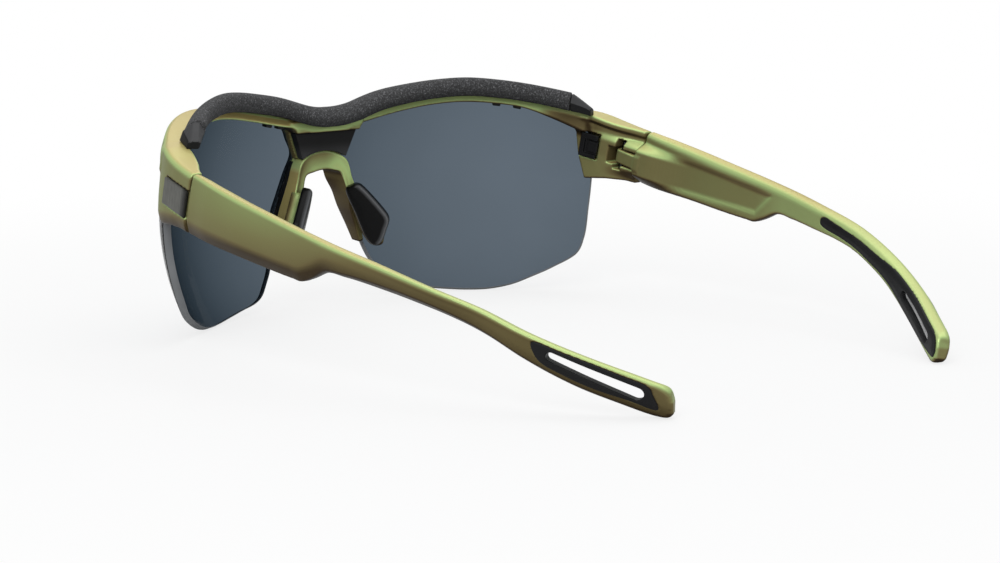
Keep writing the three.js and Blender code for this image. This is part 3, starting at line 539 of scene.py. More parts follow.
# %% Foam
FOAM_STOPS = [(0.3, 38, 38, 38), (0.5, 62, 62, 63), (0.6, 88, 88, 90), (0.72, 154, 154, 156)]
PORE_DEPTH, CELL_DEPTH = 0.18 * MM, 0.15 * MM

foam_finish, tree, principled = finish_nodes("foam")
foam_place = place_on(tree)
pores = noise(tree, foam_place, 2600.0, Detail=4.0, Roughness=0.7)
cells = node(tree, "ShaderNodeTexVoronoi", {"Scale": 1500.0, "Vector": foam_place}).outputs["Distance"]
foam_bump = bump(tree, cells, CELL_DEPTH, 0.8, Normal=bump(tree, pores, PORE_DEPTH))
shader(principled, Base_Color=add_dark(tree, ramp(tree, pores, FOAM_STOPS), 0.6), Normal=foam_bump,
       Roughness=stretch(tree, cells, 0.85, 1.0))
print("foam finish made")

# %% Badge
BRUSH_STRETCH = (9000.0, 9000.0, 260.0)

badge_grey, tree, principled = finish_nodes("badge_grey")
stretched = node(tree, "ShaderNodeMapping", {"Scale": BRUSH_STRETCH, "Vector": place_on(tree)})
brush = noise(tree, stretched.outputs[0], 1.0, Detail=2.0)
brushed = ramp(tree, brush, [(0.3, 84, 84, 80), (0.7, 124, 124, 118)])
shader(principled, Base_Color=add_dark(tree, brushed, 0.8), Roughness=stretch(tree, brush, 0.3, 0.55),
       Metallic=0.4, Specular_IOR_Level=0.25)
print("badge finish made")

# %% [markdown]
# ## Temples
# Each temple is a painted bar that starts thick at the hinge, steps up after a third of its length and
# bends in to the ear tip. A bevelled curve could follow that bend, but not the changing section. So its
# field is drawn on a grid that follows the outer face: one axis runs along the temple, one goes in from
# the outer face, and one runs up. A straight grid in those three makes a bent temple when its points are
# put back.

# %% Temple outlines
TEMPLE_LENGTH = 115.0
SEAM_GAP, SEAM_ROUND = 0.3, 0.45


def from_tip(rows):
    """Rows that count from the ear tip, counted from the seam instead."""
    return [(TEMPLE_LENGTH - place, value) for place, value in rows]


BOW = [(-8, 0), (-4, 0), (0, 0), (7.5, 0.9), (16.7, 1.4), (25.9, 1.3), (37.9, 1.0), (46.3, 0.4)] + from_tip(
    [(58.5, -1.2), (44.5, -4.0), (35.0, -7.4), (25.0, -11.1), (15.9, -16.0), (5.4, -23.15), (0, -27.0),
     (-3, -29.2)])
TEMPLE_TOP = [(-3, 0.2), (0, 0.2), (20, 0.25)] + from_tip(
    [(72, 0.3), (58.8, 0.3), (43.7, 0), (34.7, -0.6), (24.7, -2.2), (15.1, -3.7), (4.1, -5.6), (2.2, -5.95),
     (0.8, -6.5), (-1, -7.6)])
TIP_END = [(1.6, -5.0), (0.3, -6.7), (-0.6, -9.1), (-0.9, -11.4), (-0.2, -12.8), (1.2, -13.9)]
TEMPLE_LOW = [(-3, -13.0), (0, -12.9), (17, -11.7), (34.9, -10.4), (37.6, -10.1), (40.1, -8.7),
              (43.9, -6.1), (49.1, -5.5), (57.5, -5.2)] + from_tip(
    [(49.6, -5.0), (43.5, -5.1), (38.3, -5.6), (32.6, -6.6), (24.9, -8.8), (20.1, -10.1), (15.3, -11.2),
     (8.6, -12.3), (3.7, -13.0), (0, -13.2)])
SIDE_OUTLINE = [(-20, 3), (116, 3)] + from_tip(TIP_END) + [(108, -17), (-20, -17)]
PANEL = [(3.5, -3.4), (24, -2.7), (41.4, -2.5), (37.6, -7.8), (22, -9.5), (9.4, -10.7), (4.5, -10.2)]
print("temple", TEMPLE_LENGTH, "mm long, bows out", max(value for _, value in BOW), "mm")

# %% Temple sections
ROLL_THICKNESS = [(0, 2.9), (4, 3.5), (10, 4.0), (20, 4.2), (38, 4.0), (75, 3.6), (115, 3.4)]
ROOF_BEVEL = [(0, 0.7), (20, 1.0), (56, 0.8), (84, 1.1), (103, 1.2), (115, 1.0)]
ROOF_RUN = [(0, 1.3), (50, 1.3), (84, 2.2), (115, 2.4)]
OUTER_ROUND = [(0, 0.8), (40, 0.9), (85, 1.3), (115, 1.4)]
CROWN = [(0, 0.35), (20, 0.6), (40, 0.35), (60, 0.1), (115, 0.1)]
UNDERCUT = [(0, 0), (22, 0), (42, 0.1), (60, 0.2), (85, 0.16), (115, 0.1)]
LOW_ROLL = [(0, 1.0), (36, 1.0), (46, 0.4), (60, 0.3), (115, 0.3)]
KEEL_BEVEL = [(0, 0.4), (39, 0.5), (49, 1.2), (84, 1.4), (103, 1.0), (115, 0.9)]
KEEL_RUN, KEEL_LENGTH = 1.3, 1.64
PANEL_DEPTH, PANEL_EDGE, PANEL_START = 0.35, (0.8, -0.9), (4, 16)
BOSS_THICKNESS, BOSS_TOP, BOSS_LOW, BOSS_REACH = 6.0, (-2.2, -4.6), (-12.8, -10.0), (16, 1.5)
TONGUE_LOW, TONGUE_TOP, TONGUE_END, KNUCKLE = -9.2, -5.8, 1.4, 1.72
SQUARE, SQUARE_FROM = 0.55, (95, 108)
ABOVE_TABLE = 0.05
print("temple thickness from", ROLL_THICKNESS[0][1], "to", ROLL_THICKNESS[-1][1], "mm")


# %% Temple field
def slope_of(at, rows):
    """How fast a table rises, from values half a millimetre apart."""
    return table(at + 0.25, rows) * 2 - table(at - 0.25, rows) * 2


def temple_root(along, up):
    """Thickness added inside at the root: a boss round the hinge tongue, thin at top and bottom."""
    boss = ease(up, *BOSS_TOP) * ease(up, *BOSS_LOW)
    return boss * (BOSS_THICKNESS - table(along, ROLL_THICKNESS)) * ease(along, *BOSS_REACH)


def temple_field(y, n, h):
    """The temple as a cut of four faces: top, low, outer and inner, with round or bevelled edges."""
    top_line, low_line, roll = table(y, TEMPLE_TOP), table(y, TEMPLE_LOW), table(y, ROLL_THICKNESS)
    top = (h - top_line) / np.hypot(1, slope_of(y, TEMPLE_TOP))
    low = (low_line - h) / np.hypot(1, slope_of(y, TEMPLE_LOW))
    floor = PANEL_DEPTH * ease(outline(y, h, PANEL), *PANEL_EDGE) * ease(y, *PANEL_START)
    inner = n - (roll + temple_root(y, h) - floor)
    height = top_line - low_line
    crown = (2 * (h - low_line) / height - 1) ** 2
    rolled = table(y, LOW_ROLL) * ease(h - low_line, 3.4, -3.4) * 2
    outer = table(y, CROWN) * crown + table(y, UNDERCUT) * (top_line - h) + rolled - n
    roof_size, keel_size, run = table(y, ROOF_BEVEL), table(y, KEEL_BEVEL), table(y, ROOF_RUN)
    roof = (run * (h - top_line + roof_size) - (roll - n)) / np.hypot(1, run)
    keel = (KEEL_RUN * (low_line + keel_size - h) + table(y, UNDERCUT) * height - n) / KEEL_LENGTH
    field = round_cut(round_cut(top, roof, roof_size), outer, table(y, OUTER_ROUND))
    field = round_cut(field, round_cut(inner, roof, roof_size), 0.3)
    field = round_cut(field, round_cut(low, keel, keel_size * 0.7), 0.15)
    field = round_cut(field, round_cut(inner, low, 0.8 + 0.9 * ease(y, 8, 0)), 0.05)
    side = outline(y + SQUARE * n * ease(y, *SQUARE_FROM), h, SIDE_OUTLINE)
    worn_y, worn_z = from_slope(y, h)
    lifted = worn_y * math.sin(TIP) + worn_z * math.cos(TIP) + MOVE_Z
    return round_cut(round_cut(field, side, 0.7), ABOVE_TABLE - lifted + 0 * n, 0.5)


def hinge_tongue(y, n, h):
    """A flat tongue that ends in a round knuckle on the pin, joined to the temple's root."""
    in_plan = np.hypot(n - PIN_INSIDE, np.minimum(y - PIN_ALONG, 0)) - KNUCKLE
    flat = np.maximum(TONGUE_LOW - h, h - TONGUE_TOP)
    return np.maximum(round_cut(in_plan, flat, 0.35), y - TONGUE_END)


# %% [markdown]
# The ear tip carries a soft grip: a long strip let into the inner face and a patch on the outer face,
# joined through a slot. The temple gets a shallow bed for both, and the grip is drawn with the same
# outlines.

# %% Grip outlines
STRIP = smooth_line(from_tip([
    (55.2, -1.1), (52, -1.3), (48.8, -1.5), (41, -1.9), (33.8, -2.5), (28, -3),
    (23, -3.75), (16, -4.9), (9, -6.15), (3.9, -7.1), (2.6, -7.7), (1.9, -8.8), (1.5, -10.2),
    (1.9, -11.5), (3.5, -11.75), (6, -11.7), (12.1, -11.2), (18, -10.1), (23.5, -8.5), (28, -7),
    (32.6, -5.7), (38, -4.8), (43.3, -4.1), (50, -3.7), (54.5, -3.5), (56.1, -3.0), (56.3, -1.8)]), 130,
    closed=True)
PATCH = smooth_line(from_tip([
    (23.3, -3.8), (18, -4.3), (13.1, -5), (8, -6), (3.6, -7), (2.9, -8.2),
    (1.8, -11.1), (6.3, -10.6), (12.4, -9.9), (17.9, -8.6), (21.3, -7.5), (22.7, -6)]), 60, closed=True)
SLOT_FRONT, SLOT_REAR = from_tip([(19.5, -5.65), (5.2, -8.75)])
SLOT_FALL, SLOT_NARROW, SLOT_WIDE = 0.18, 0.88, 1.22
GRIP_DEPTH, GRIP_PROUD, GRIP_SWELL, SLOT_WALL = 0.8, 0.2, 0.25, 0.45
BED_ROOM, PIN_HOLE = 0.12, 0.87


def slot_distance(y, n, h):
    """Distance to the wall of the slot in the ear tip, which widens to the rear and falls inwards."""
    way = np.subtract(SLOT_REAR, SLOT_FRONT)
    along, up = y + SQUARE * n - SLOT_FRONT[0], h + SLOT_FALL * n - SLOT_FRONT[1]
    t = np.clip((along * way[0] + up * way[1]) / way.dot(way), 0, 1)
    return np.hypot(along - t * way[0], up - t * way[1]) - SLOT_NARROW - t * (SLOT_WIDE - SLOT_NARROW)


def grip_shape(y, n, h, grow):
    """The strip in the inner face, the patch in the outer face, and the sleeve round the slot."""
    roll = table(y, ROLL_THICKNESS)
    strip = np.maximum(outline(y, h, STRIP) - grow, roll - GRIP_DEPTH - grow - n)
    patch = np.maximum(outline(y, h, PATCH) - grow, n - GRIP_DEPTH - grow)
    sleeve = slot_distance(y, n, h) - SLOT_WALL - grow
    return strip, patch, sleeve


def put_back(points):
    """From the temple's own grid (along, in from the outer face, up) to the worn position."""
    y, n, h = points.T
    x = HALF + table(y, BOW) - n * np.hypot(1, slope_of(y, BOW))
    return np.stack([x, *from_slope(y, h)], axis=1)


print("slot", round(math.dist(SLOT_FRONT, SLOT_REAR), 1), "mm long")

# %% Temple meshes
# Painted light on the paint's ramp: the inner face is painted lighter, most towards the rear, and the top
# near the ear tip is pushed from gold to a lighter mint.
TIP_TOP_LIGHT, INNER_LIGHT, REAR_LIGHT = 0.07, 0.01, 0.09
y, n, h = grid((-7.4, -1.0, -14.6), (0.25, 0.2, 0.2), (496, 44, 80))
body_field = temple_field(y, n, h)
seam = SEAM_GAP / 2 - y + 0 * body_field
temple = round_join(round_cut(body_field, seam, SEAM_ROUND), hinge_tongue(y, n, h), 0.8)
temple = round_cut(temple, PIN_HOLE - np.hypot(n - PIN_INSIDE, y - PIN_ALONG), 0.1)
for bed in grip_shape(y, n, h, -BED_ROOM):
    temple = round_cut(temple, -bed, 0.12)
points, faces = skin(temple, (y, n, h))
place, depth, height = points.T
near_top = ease(height - table(place, TEMPLE_TOP), -1.8, -0.9)
inner_face = ease(depth - table(place, ROLL_THICKNESS), -0.9, -0.3) * ease(place, 12, 24) * (1 - near_top)
inner_light = INNER_LIGHT + REAR_LIGHT * ease(place, 36, 46)
temple_shade = TIP_TOP_LIGHT * near_top * ease(place, 50, 75) - inner_light * inner_face
both("temple_moulding", relax(put_back(points), faces, 3), [[faces]], [paint], "temple_SIDE", "temple",
     slot="frame_paint", marks={"shade": temple_shade})

# %% [markdown]
# The grip stands a little proud of the paint, so its outer face is the temple's own field moved outwards.
# Light falls into the right tip's slot from behind; a pale grey on the slot's deep wall is painted light.

# %% Grip meshes
y, n, h = grid((56.4, -0.7, -13.4), (0.16, 0.11, 0.11), (372, 48, 122))
strip, patch, sleeve = grip_shape(y, n, h, 0)
paint_face = temple_field(y, n, h)
swell = GRIP_SWELL * ease(outline(y, h, STRIP), 0, -1.6) * (n > table(y, ROLL_THICKNESS) / 2)
grip = round_cut(np.minimum(strip, patch), paint_face - GRIP_PROUD - swell, 0.17)
grip = np.minimum(grip, np.maximum(sleeve, paint_face - GRIP_PROUD / 2))
grip = round_cut(grip, -slot_distance(y, n, h), 0.25)
points, faces = skin(grip, (y, n, h))
# The slot's deep wall gets the pale grey of painted light.
on_slot_wall = (slot_distance(*points.T) < 0.12) & (points[:, 1] > 0.3) & (points[:, 1] < 2.75)
deep = on_slot_wall[faces].all(axis=1)
grips = both("tip_grip_rubber", relax(put_back(points), faces, 3), [[faces[~deep]], [faces[deep]]],
             [soft_rubber, soft_rubber], "temple_SIDE", "tip_grip", slot="soft_rubber")
grips[1].data.materials[1] = slot_painted_light

# %% [markdown]
# ## Front frame
# The front is one moulding: a brow bar that follows the lenses' round, and at each end a hollow block
# with a shelf on top, a wall for the hinge and room for the lens. It is drawn as a field in the worn
# position. The bar is drawn in brow lengths: across along the lens, behind it, and up. The end blocks are
# drawn along the temples' fall.

# %% Brow lengths
LENS_RADIUS, LENS_THICKNESS = 52.7, 2.2
LENS_MIDDLE = np.array([15.7, 8.4, -10.8])
NOSE_JOIN = -8.4
BAR_LOW = [(-8.4, -1.3), (-1.1, -0.1), (7.7, 1.5), (16.4, 2.9), (25, 3.7), (33.6, 3.6), (42.1, 2.8),
           (48.6, 1.0), (54.2, -0.8), (57.9, -2.0)]
BAR_TOP = [(-8.4, 0.3), (-1.1, 2.2), (7.7, 3.7), (16.4, 4.9), (25, 5.6), (33.6, 5.4), (42.1, 4.8),
           (48.6, 4.1), (54.2, 3.4), (57.9, 2.9), (60.9, 2.2)]
BAR_FRONT = [(-8.4, -3.2), (10, -3.4), (22, -4.0), (30, -4.1), (38, -3.7), (46, -3.4), (52, -3.5),
             (58, -3.7)]
BAR_REAR, BAR_END = 2.7, 59
MIDDLE_LOW, MIDDLE_TOP = -2.5, -0.9


def brow_lengths(x, y, z):
    """Across and behind for worn points. Beside the nose they follow a ball round the lens's middle, and
    over the nose a parabola that leaves both balls at the join with their slope; share runs from 0 at the
    nose to 1 there."""
    dx, dy, dz = x - LENS_MIDDLE[0], y - LENS_MIDDLE[1], z - LENS_MIDDLE[2]
    across = LENS_RADIUS * np.arctan2(dx, -dy)
    behind = LENS_RADIUS - np.sqrt(dx * dx + dy * dy + dz * dz)
    level = np.sqrt(np.maximum(LENS_RADIUS ** 2 - dz * dz, 1))
    turn = NOSE_JOIN / LENS_RADIUS
    join_x, join_y = LENS_MIDDLE[0] + level * math.sin(turn), LENS_MIDDLE[1] - level * math.cos(turn)
    share = np.clip(x / join_x, 0, 1)
    slope = math.tan(turn)
    over_nose = y - join_y + slope * join_x * (1 - share * share) / 2
    over_nose = over_nose / np.hypot(1, slope * share) * level / LENS_RADIUS
    near = x < join_x
    return np.where(near, NOSE_JOIN, across), np.where(near, over_nose, behind), np.where(near, share, 1)


def bar_height(across, share, rows, middle):
    """A height of the bar: its table, blended to the middle over the nose by share squared."""
    return middle + (table(across, rows) - middle) * share ** 2


print("bar", round(BAR_TOP[4][1] - BAR_LOW[4][1], 1), "mm high over the lens's middle")


# %% Bar field
def bar_field(across, behind, share, z):
    """The bar as a cut of its rear, front, top and low faces."""
    top = z - bar_height(across, share, BAR_TOP, MIDDLE_TOP)
    low = bar_height(across, share, BAR_LOW, MIDDLE_LOW) - z
    lean = 0.8 - 0.35 * ease(across, 40, 54)
    rear = (behind - BAR_REAR - lean * (low + 0.7)) / np.hypot(1, lean)
    front = table(across, BAR_FRONT) - behind
    field = round_cut(round_cut(rear, top, 0.3), low, 0.6)
    field = np.maximum(round_cut(round_cut(front, top, 0.9), low - 0.3, 0.5), field)
    return round_cut(field, across - BAR_END + 0 * field, 1.2)


# %% [markdown]
# The end block's inner side swells round the hinge and is hollow under the shelf, so it is drawn as a
# height over the temple's side plane: how far inside that plane the face lies at each place along and up.

# %% End block tables
END_OUTER = [(3, -0.3), (0, 0), (-3.6, 0.5), (-7.3, 1.1), (-12, 2.4), (-14.5, 3.55), (-16.9, 4.95),
             (-19, 6.5), (-22, 9.2)]
END_TOP = [(3, 0.2), (0, 0.2), (-9.1, 0.55), (-12, 0.85), (-14.9, 1.0), (-17.8, 0.75), (-23, 0.5)]
SHELF_EDGE = [(3, 2.8), (0, 3.1), (-2, 3.9), (-5.1, 5.9), (-9, 7.9), (-13, 9.4), (-16, 10.2), (-20, 11.6)]
WALL_UPPER = [(3, 2.5), (0, 2.7), (-3, 4.0), (-6, 5.7), (-10.6, 7.7), (-16, 9.8), (-19, 11)]
WALL_MIDDLE = [(3, 5.2), (0, 5.2), (-5.2, 6.5), (-10.6, 8.3), (-16, 10.2), (-19, 11.2)]
END_SIDE = [(4, 3), (4, -13.0), (0, -13.0), (-3, -13.1), (-7.3, -13.8), (-12.4, -15.2), (-15, -9.6),
            (-16.8, -3), (-19.6, -1), (-21, 3)]
END_LOW = [(3, -13), (0, -13), (-3, -13.1), (-7.3, -13.8), (-12.4, -15.2), (-22, -18)]
SHELF_DEPTH, WALL_SWELL, WALL_THINNING, END_ROLL = 1.6, (-2.4, -4.6), 1.6, 2.2


def end_inner(along, up):
    """Inner face of the end block: the wall, swelling from upper to middle line, then the shelf."""
    upper, middle = table(along, WALL_UPPER), table(along, WALL_MIDDLE)
    wall = upper + (middle - upper) * ease(up, *WALL_SWELL)
    wall = wall - WALL_THINNING * ease(up, -9.8, -12.8) * ease(along, -9, 0)
    on_shelf = ease(up - table(along, END_TOP), -SHELF_DEPTH - 0.5, -SHELF_DEPTH + 0.3)
    return wall + (table(along, SHELF_EDGE) - wall) * on_shelf


def end_field(inside, along, up):
    """The end block as a cut of its outer face, inner face, top and side outline."""
    rolled = END_ROLL * ease(up - table(along, END_LOW), 3.2, -3.2)
    outer = (table(along, END_OUTER) + rolled - inside) / np.hypot(1, slope_of(along, END_OUTER))
    inner = (inside - end_inner(along, up)) / 1.1
    top = up - table(along, END_TOP) + 0 * inside
    side = outline(along, up, END_SIDE)
    field = round_cut(round_cut(outer, top, 1.5), round_cut(inner, top, 0.7), 0.3)
    return np.maximum(field, np.maximum(round_cut(outer, side, 0.6), round_cut(inner, side, 0.4)))


print("end block", round(WALL_MIDDLE[3][1] - END_OUTER[4][1], 1), "mm thick at the latch")

# %% Front frame grid, finer at the ends, where the hinges are
x, y, z = np.ix_(
    np.concatenate([np.arange(0.135, 13, 0.27), np.arange(13.1, 54, 0.42), np.arange(54, 71.2, 0.22)]),
    np.concatenate([np.arange(-47.6, -23.1, 0.3), np.arange(-23, 0.8, 0.22)]),
    np.concatenate([np.arange(-16.2, 2.9, 0.22), np.arange(3, 8.2, 0.26)]))
across, behind, share = brow_lengths(x, y, z)
along, up = to_slope(y, z)
inside = HALF - x
bar = bar_field(across, behind, share, z)
end = round_cut(end_field(inside, along, up), along + SEAM_GAP / 2 + 0 * inside, SEAM_ROUND)
under_top = bar_height(across, share, BAR_TOP, MIDDLE_TOP) - z
front = round_join(bar, end, 0.25 + 0.95 * ease(under_top, 0.3, 2))
print("front grid", front.shape)

# %% [markdown]
# Now the front gets its openings: the groove for the lens, the bed for the brow pad's end, the window of
# the lens latch, the seat of the badge, and the hinge pocket with the slots that hold the pin's ends.

# %% Lens outline
LENS_EDGE_SLANT, LENS_REAR = 0.25, 0.6
LENS_OUTLINE = [
    (-9, 2.9), (-7.4, 6.4), (-5.2, 10.2), (-1, 12.1), (7.7, 13.5), (16.5, 14.9), (25.1, 15.7),
    (34.2, 15.5), (42.6, 14.8), (49.4, 13.2), (56.2, 11.3), (59.0, 8.5), (59.5, -1.5), (59.6, -10),
    (59.7, -17.1), (58.6, -21.2), (52.8, -25.5), (47.6, -28.3), (42.0, -30.8), (35.6, -32.3),
    (28.7, -32.75), (21.6, -32.55), (14.7, -31.9), (8, -30.9), (4.8, -29.5), (2.2, -27), (-0.3, -23.7),
    (-2.1, -18.8), (-3.8, -11.1), (-5.7, -6.6), (-7.4, -2.1)]
lens_rim = smooth_line(LENS_OUTLINE, 360, closed=True)


def dome(across, up, rise):
    """A point on the lens's ball: across and up are arcs, and rise lifts the point to the front."""
    turn, lift = across / LENS_RADIUS, up / LENS_RADIUS
    ball = np.stack([np.cos(lift) * np.sin(turn), -np.cos(lift) * np.cos(turn), np.sin(lift)], axis=-1)
    return LENS_MIDDLE + (LENS_RADIUS + np.asarray(rise)[..., None]) * ball


print("lens", np.ptp(lens_rim, axis=0).round(1), "mm across and up")

# %% Lens groove: the outline's distance is drawn once on a flat map, and the grid looks it up there
MAP_STEP, GROOVE_ROOM, BAR_COVER = 0.2, 0.15, 0.8
map_across, map_up = np.arange(-20, 75, MAP_STEP), np.arange(-45, 40, MAP_STEP)
lens_map = outline(map_across[:, None], map_up[None, :], lens_rim[::3])
dx, dy, dz = x - LENS_MIDDLE[0], y - LENS_MIDDLE[1], z - LENS_MIDDLE[2]
dome_up = LENS_RADIUS * np.arcsin(np.clip(dz / (LENS_RADIUS - behind), -1, 1))
dome_across = LENS_RADIUS * np.arctan2(dx, -dy)
map_column = np.clip(((dome_across - map_across[0]) / MAP_STEP).round().astype(int), 0, len(map_across) - 1)
map_row = np.clip(((dome_up - map_up[0]) / MAP_STEP).round().astype(int), 0, len(map_up) - 1)
dome_behind = LENS_RADIUS - np.sqrt(dx ** 2 + dy ** 2 + dz ** 2)
groove = np.maximum(lens_map[np.broadcast_to(map_column, map_row.shape), map_row] - GROOVE_ROOM,
                    np.abs(dome_behind + LENS_THICKNESS / 2) - LENS_THICKNESS / 2 - GROOVE_ROOM)
front = np.maximum(front, -np.maximum(groove, BAR_COVER - under_top))
print("groove", round(LENS_THICKNESS + 2 * GROOVE_ROOM, 2), "mm wide")

# %% Brow pad bed, latch window and badge seat
CAP_END = 59.9
BED_WIDTH = [(-8.4, 3.35), (30.6, 3.35), (42.6, 3.05), (54.2, 2.55), (59.9, 1.5)]
FOAM_BEHIND = 1.6
LATCH = dict(inside=9.2, along=-12.25, up=-6.7, turn=math.radians(-18.6), size=(1.1, 4.6, 5.9))
BADGE = dict(inside=0.8, along=-5.3, up=-6.7, turn=math.radians(-9.3), size=(0.8, 9.8, 5.8))
WINDOW_DEPTH, WINDOW_ROOM, SEAT_DEPTH, SEAT_ROOM = 2.6, 0.2, 1.05, 0.12


def plate_lengths(plate, inside, along, up):
    """Lengths across, along and up from the middle of a plate turned about the temple's upright."""
    dx, dy = plate["inside"] - inside, along - plate["along"]
    c, s = math.cos(plate["turn"]), math.sin(plate["turn"])
    return dx * c + dy * s, dy * c - dx * s, up - plate["up"]


bed = np.maximum(under_top + 0.12, across - CAP_END - 0.15)
bed = np.maximum(bed, np.abs(behind - FOAM_BEHIND * (0.2 + 0.8 * share)) - table(across, BED_WIDTH))
front = round_cut(front, -bed, 0.15)
dx, dy, dz = plate_lengths(LATCH, inside, along, up)
_, latch_long, latch_high = LATCH["size"]
window_half = (WINDOW_DEPTH, latch_long / 2 + WINDOW_ROOM, latch_high / 2 + WINDOW_ROOM)
front = round_cut(front, -box(dx, dy, dz, window_half, 0.3), 0.22)
dx, dy, dz = plate_lengths(BADGE, inside, along, up)
_, badge_long, badge_high = BADGE["size"]
seat_half = (SEAT_DEPTH, badge_long / 2 + 1 + SEAT_ROOM, badge_high / 2 + SEAT_ROOM)
front = round_cut(front, -box(dx - 0.5, dy - 1, dz, seat_half, 0.15), 0.12)
print("latch window", latch_long + 2 * WINDOW_ROOM, "by", latch_high + 2 * WINDOW_ROOM, "mm")

# %% Hinge pocket
POCKET_IN, POCKET_DEEP, POCKET_FRONT, POCKET_ROOM = 2, 2.5, 0.95, 0.35
PIN_SLOT_HALF, PIN_SLOT_RISE = (3.6, 1.0, 3.7), 0.5
in_pocket = inside - PIN_INSIDE - POCKET_IN
pocket_plan = np.maximum(np.abs(in_pocket) - KNUCKLE - POCKET_DEEP,
                         PIN_ALONG - KNUCKLE - POCKET_FRONT - along)
pocket = np.maximum(pocket_plan, np.abs(up - PIN_UP) - (TONGUE_TOP - TONGUE_LOW) / 2 - POCKET_ROOM)
front = round_cut(front, -pocket, 0.25)
pin_slots = box(in_pocket, along - PIN_ALONG, up - PIN_UP - PIN_SLOT_RISE, PIN_SLOT_HALF, 0.2)
front = round_cut(front, -pin_slots, 0.2)
print("pocket", round(TONGUE_TOP - TONGUE_LOW + 2 * POCKET_ROOM, 2), "mm high")

# %% [markdown]
# Over the nose the bar carries a short plate that the black insert leans on. The right half of the field
# mirrors the left one, so the whole front comes from one net. Marks on the points make the paint lighter
# on the bar's rear face and under the nose, which is painted light, and darker in the hollow under the
# shelves, which is painted shade.

# %% Middle plate
INSERT_TOP, INSERT_LOW, INSERT_REAR, INSERT_THICKNESS = -2.2, -8.6, -40.5, 2.0
NASAL, ARCH_RISE = 6.7, 1.7
PLATE_MIDDLE, PLATE_HALF, PLATE_ROOM, PLATE_REAR = -43.65, 0.85, 0.25, -42.65
BLOCK_OUTLINE = [(10.9, 0.5), (9.05, -2.9), (-9.05, -2.9), (-10.9, 0.5)]
BLOCK_FRONT, BLOCK_REAR, BLOCK_LEAN, BLOCK_LENGTH = -45.9, -39.6, 0.25, 1.03
arch = [(way * (NASAL - 0.05), INSERT_LOW + ARCH_RISE * (1 - way ** 2)) for way in np.linspace(1, -1, 25)]
INSERT_OUTLINE = [(-NASAL - 2.7, INSERT_TOP), (NASAL + 2.7, INSERT_TOP)] + arch
insert_side = outline(x, z, INSERT_OUTLINE)
plate = np.maximum(np.abs(y - PLATE_MIDDLE) - PLATE_HALF, insert_side - PLATE_ROOM)
block_rear = (y - BLOCK_REAR + BLOCK_LEAN * (z + 1)) / BLOCK_LENGTH
block = round_cut(outline(x, z, BLOCK_OUTLINE), np.maximum(BLOCK_FRONT - y, block_rear), 0.2)
insert_room = np.maximum(insert_side - 0.1, PLATE_REAR - y)
front = np.maximum(round_join(round_join(front, block, 0.9), plate, 0.3), -insert_room)
print("plate", 2 * PLATE_HALF, "mm thick")

# %% Front mesh
# Painted light on the bar's rear face, most on the left bar, on the plate's sides under the nose and low on
# the end walls; painted shade in the hollow under the shelves.
NOSE_LIGHT, BAR_LIGHT, LEFT_BAR_LIGHT, WALL_LIGHT, SHELF_DARK = 0.12, 0.12, 0.42, 0.03, 0.25
points, faces = skin(np.concatenate([front[::-1], front]), (np.concatenate([-x[::-1], x]), y, z))
points = relax(points, faces, 3)
side_way = np.abs(points[:, 0])
point_across, point_behind, _ = brow_lengths(side_way, points[:, 1], points[:, 2])
point_along, point_up = to_slope(points[:, 1], points[:, 2])
below_top = bar_height(point_across, 1, BAR_TOP, MIDDLE_TOP) - points[:, 2]
at_nose = ease(side_way, 12, 11) * ease(points[:, 2], -1.6, -2.6)
on_rear = ease(point_behind, 1.6, 2.4) * ease(point_across, 52, 42)
under_shelf = ease(point_behind, 0.8, 1.8) * ease(point_across, 44, 50) * ease(below_top, 0.9, 1.7)
under_shelf = under_shelf * ease(point_along, -9, -14) * ease(point_up, -6, -4)
end_wall = ease(HALF - side_way, 2.4, 3.4) * ease(point_up, -7.5, -9) * ease(point_along, -16, -14)
bar_light = BAR_LIGHT + LEFT_BAR_LIGHT * ease(points[:, 0], 8, 14)
light = np.maximum(NOSE_LIGHT * at_nose, on_rear * bar_light)
put("front_frame_moulding", points, [[faces]], [paint], "front", ["front_frame"], slot="frame_paint",
    marks={"shade": SHELF_DARK * under_shelf - WALL_LIGHT * end_wall - light})

# %% [markdown]
# ## Lenses
# Each lens is a thin smoke-grey shell cut from a ball. Its two faces are rings that grow from the middle
# to the rim, and a narrow slanted edge joins them. The edge is its own finish: a light grey that is a
# painted sheen for the light the dark edge catches.

# %% Rings
def closed_rings(rings):
    """A closed shape from rings of equal length: quads between them and fans at both ends."""
    count, columns = rings.shape[:2]
    points = np.concatenate([rings.reshape(-1, 3), rings[:1].mean(axis=1), rings[-1:].mean(axis=1)])
    at = np.arange(columns)
    first = np.stack([np.roll(at, -1), at, np.full(columns, count * columns)], axis=1)
    last = (count - 1) * columns
    final = np.stack([last + at, last + np.roll(at, -1), np.full(columns, count * columns + 1)], axis=1)
    return points, grid_faces(count, columns), np.concatenate([first, final])


def ring_marks(values, first=0, last=0):
    """Marks for the points of closed rings: one for each point of each ring, then the two end points."""
    return {"shade": np.concatenate([np.asarray(values, dtype=float).ravel(), [first, last]])}


def inward(rim, amount):
    """A rim moved inwards: each point goes square to the line through its neighbours."""
    way = np.roll(rim, -1, axis=0) - np.roll(rim, 1, axis=0)
    normal = np.stack([-way[:, 1], way[:, 0]], axis=1) / np.linalg.norm(way, axis=1, keepdims=True)
    area = np.sum(rim[:, 0] * np.roll(rim[:, 1], -1) - rim[:, 1] * np.roll(rim[:, 0], -1))
    return rim + math.copysign(amount, area) * normal


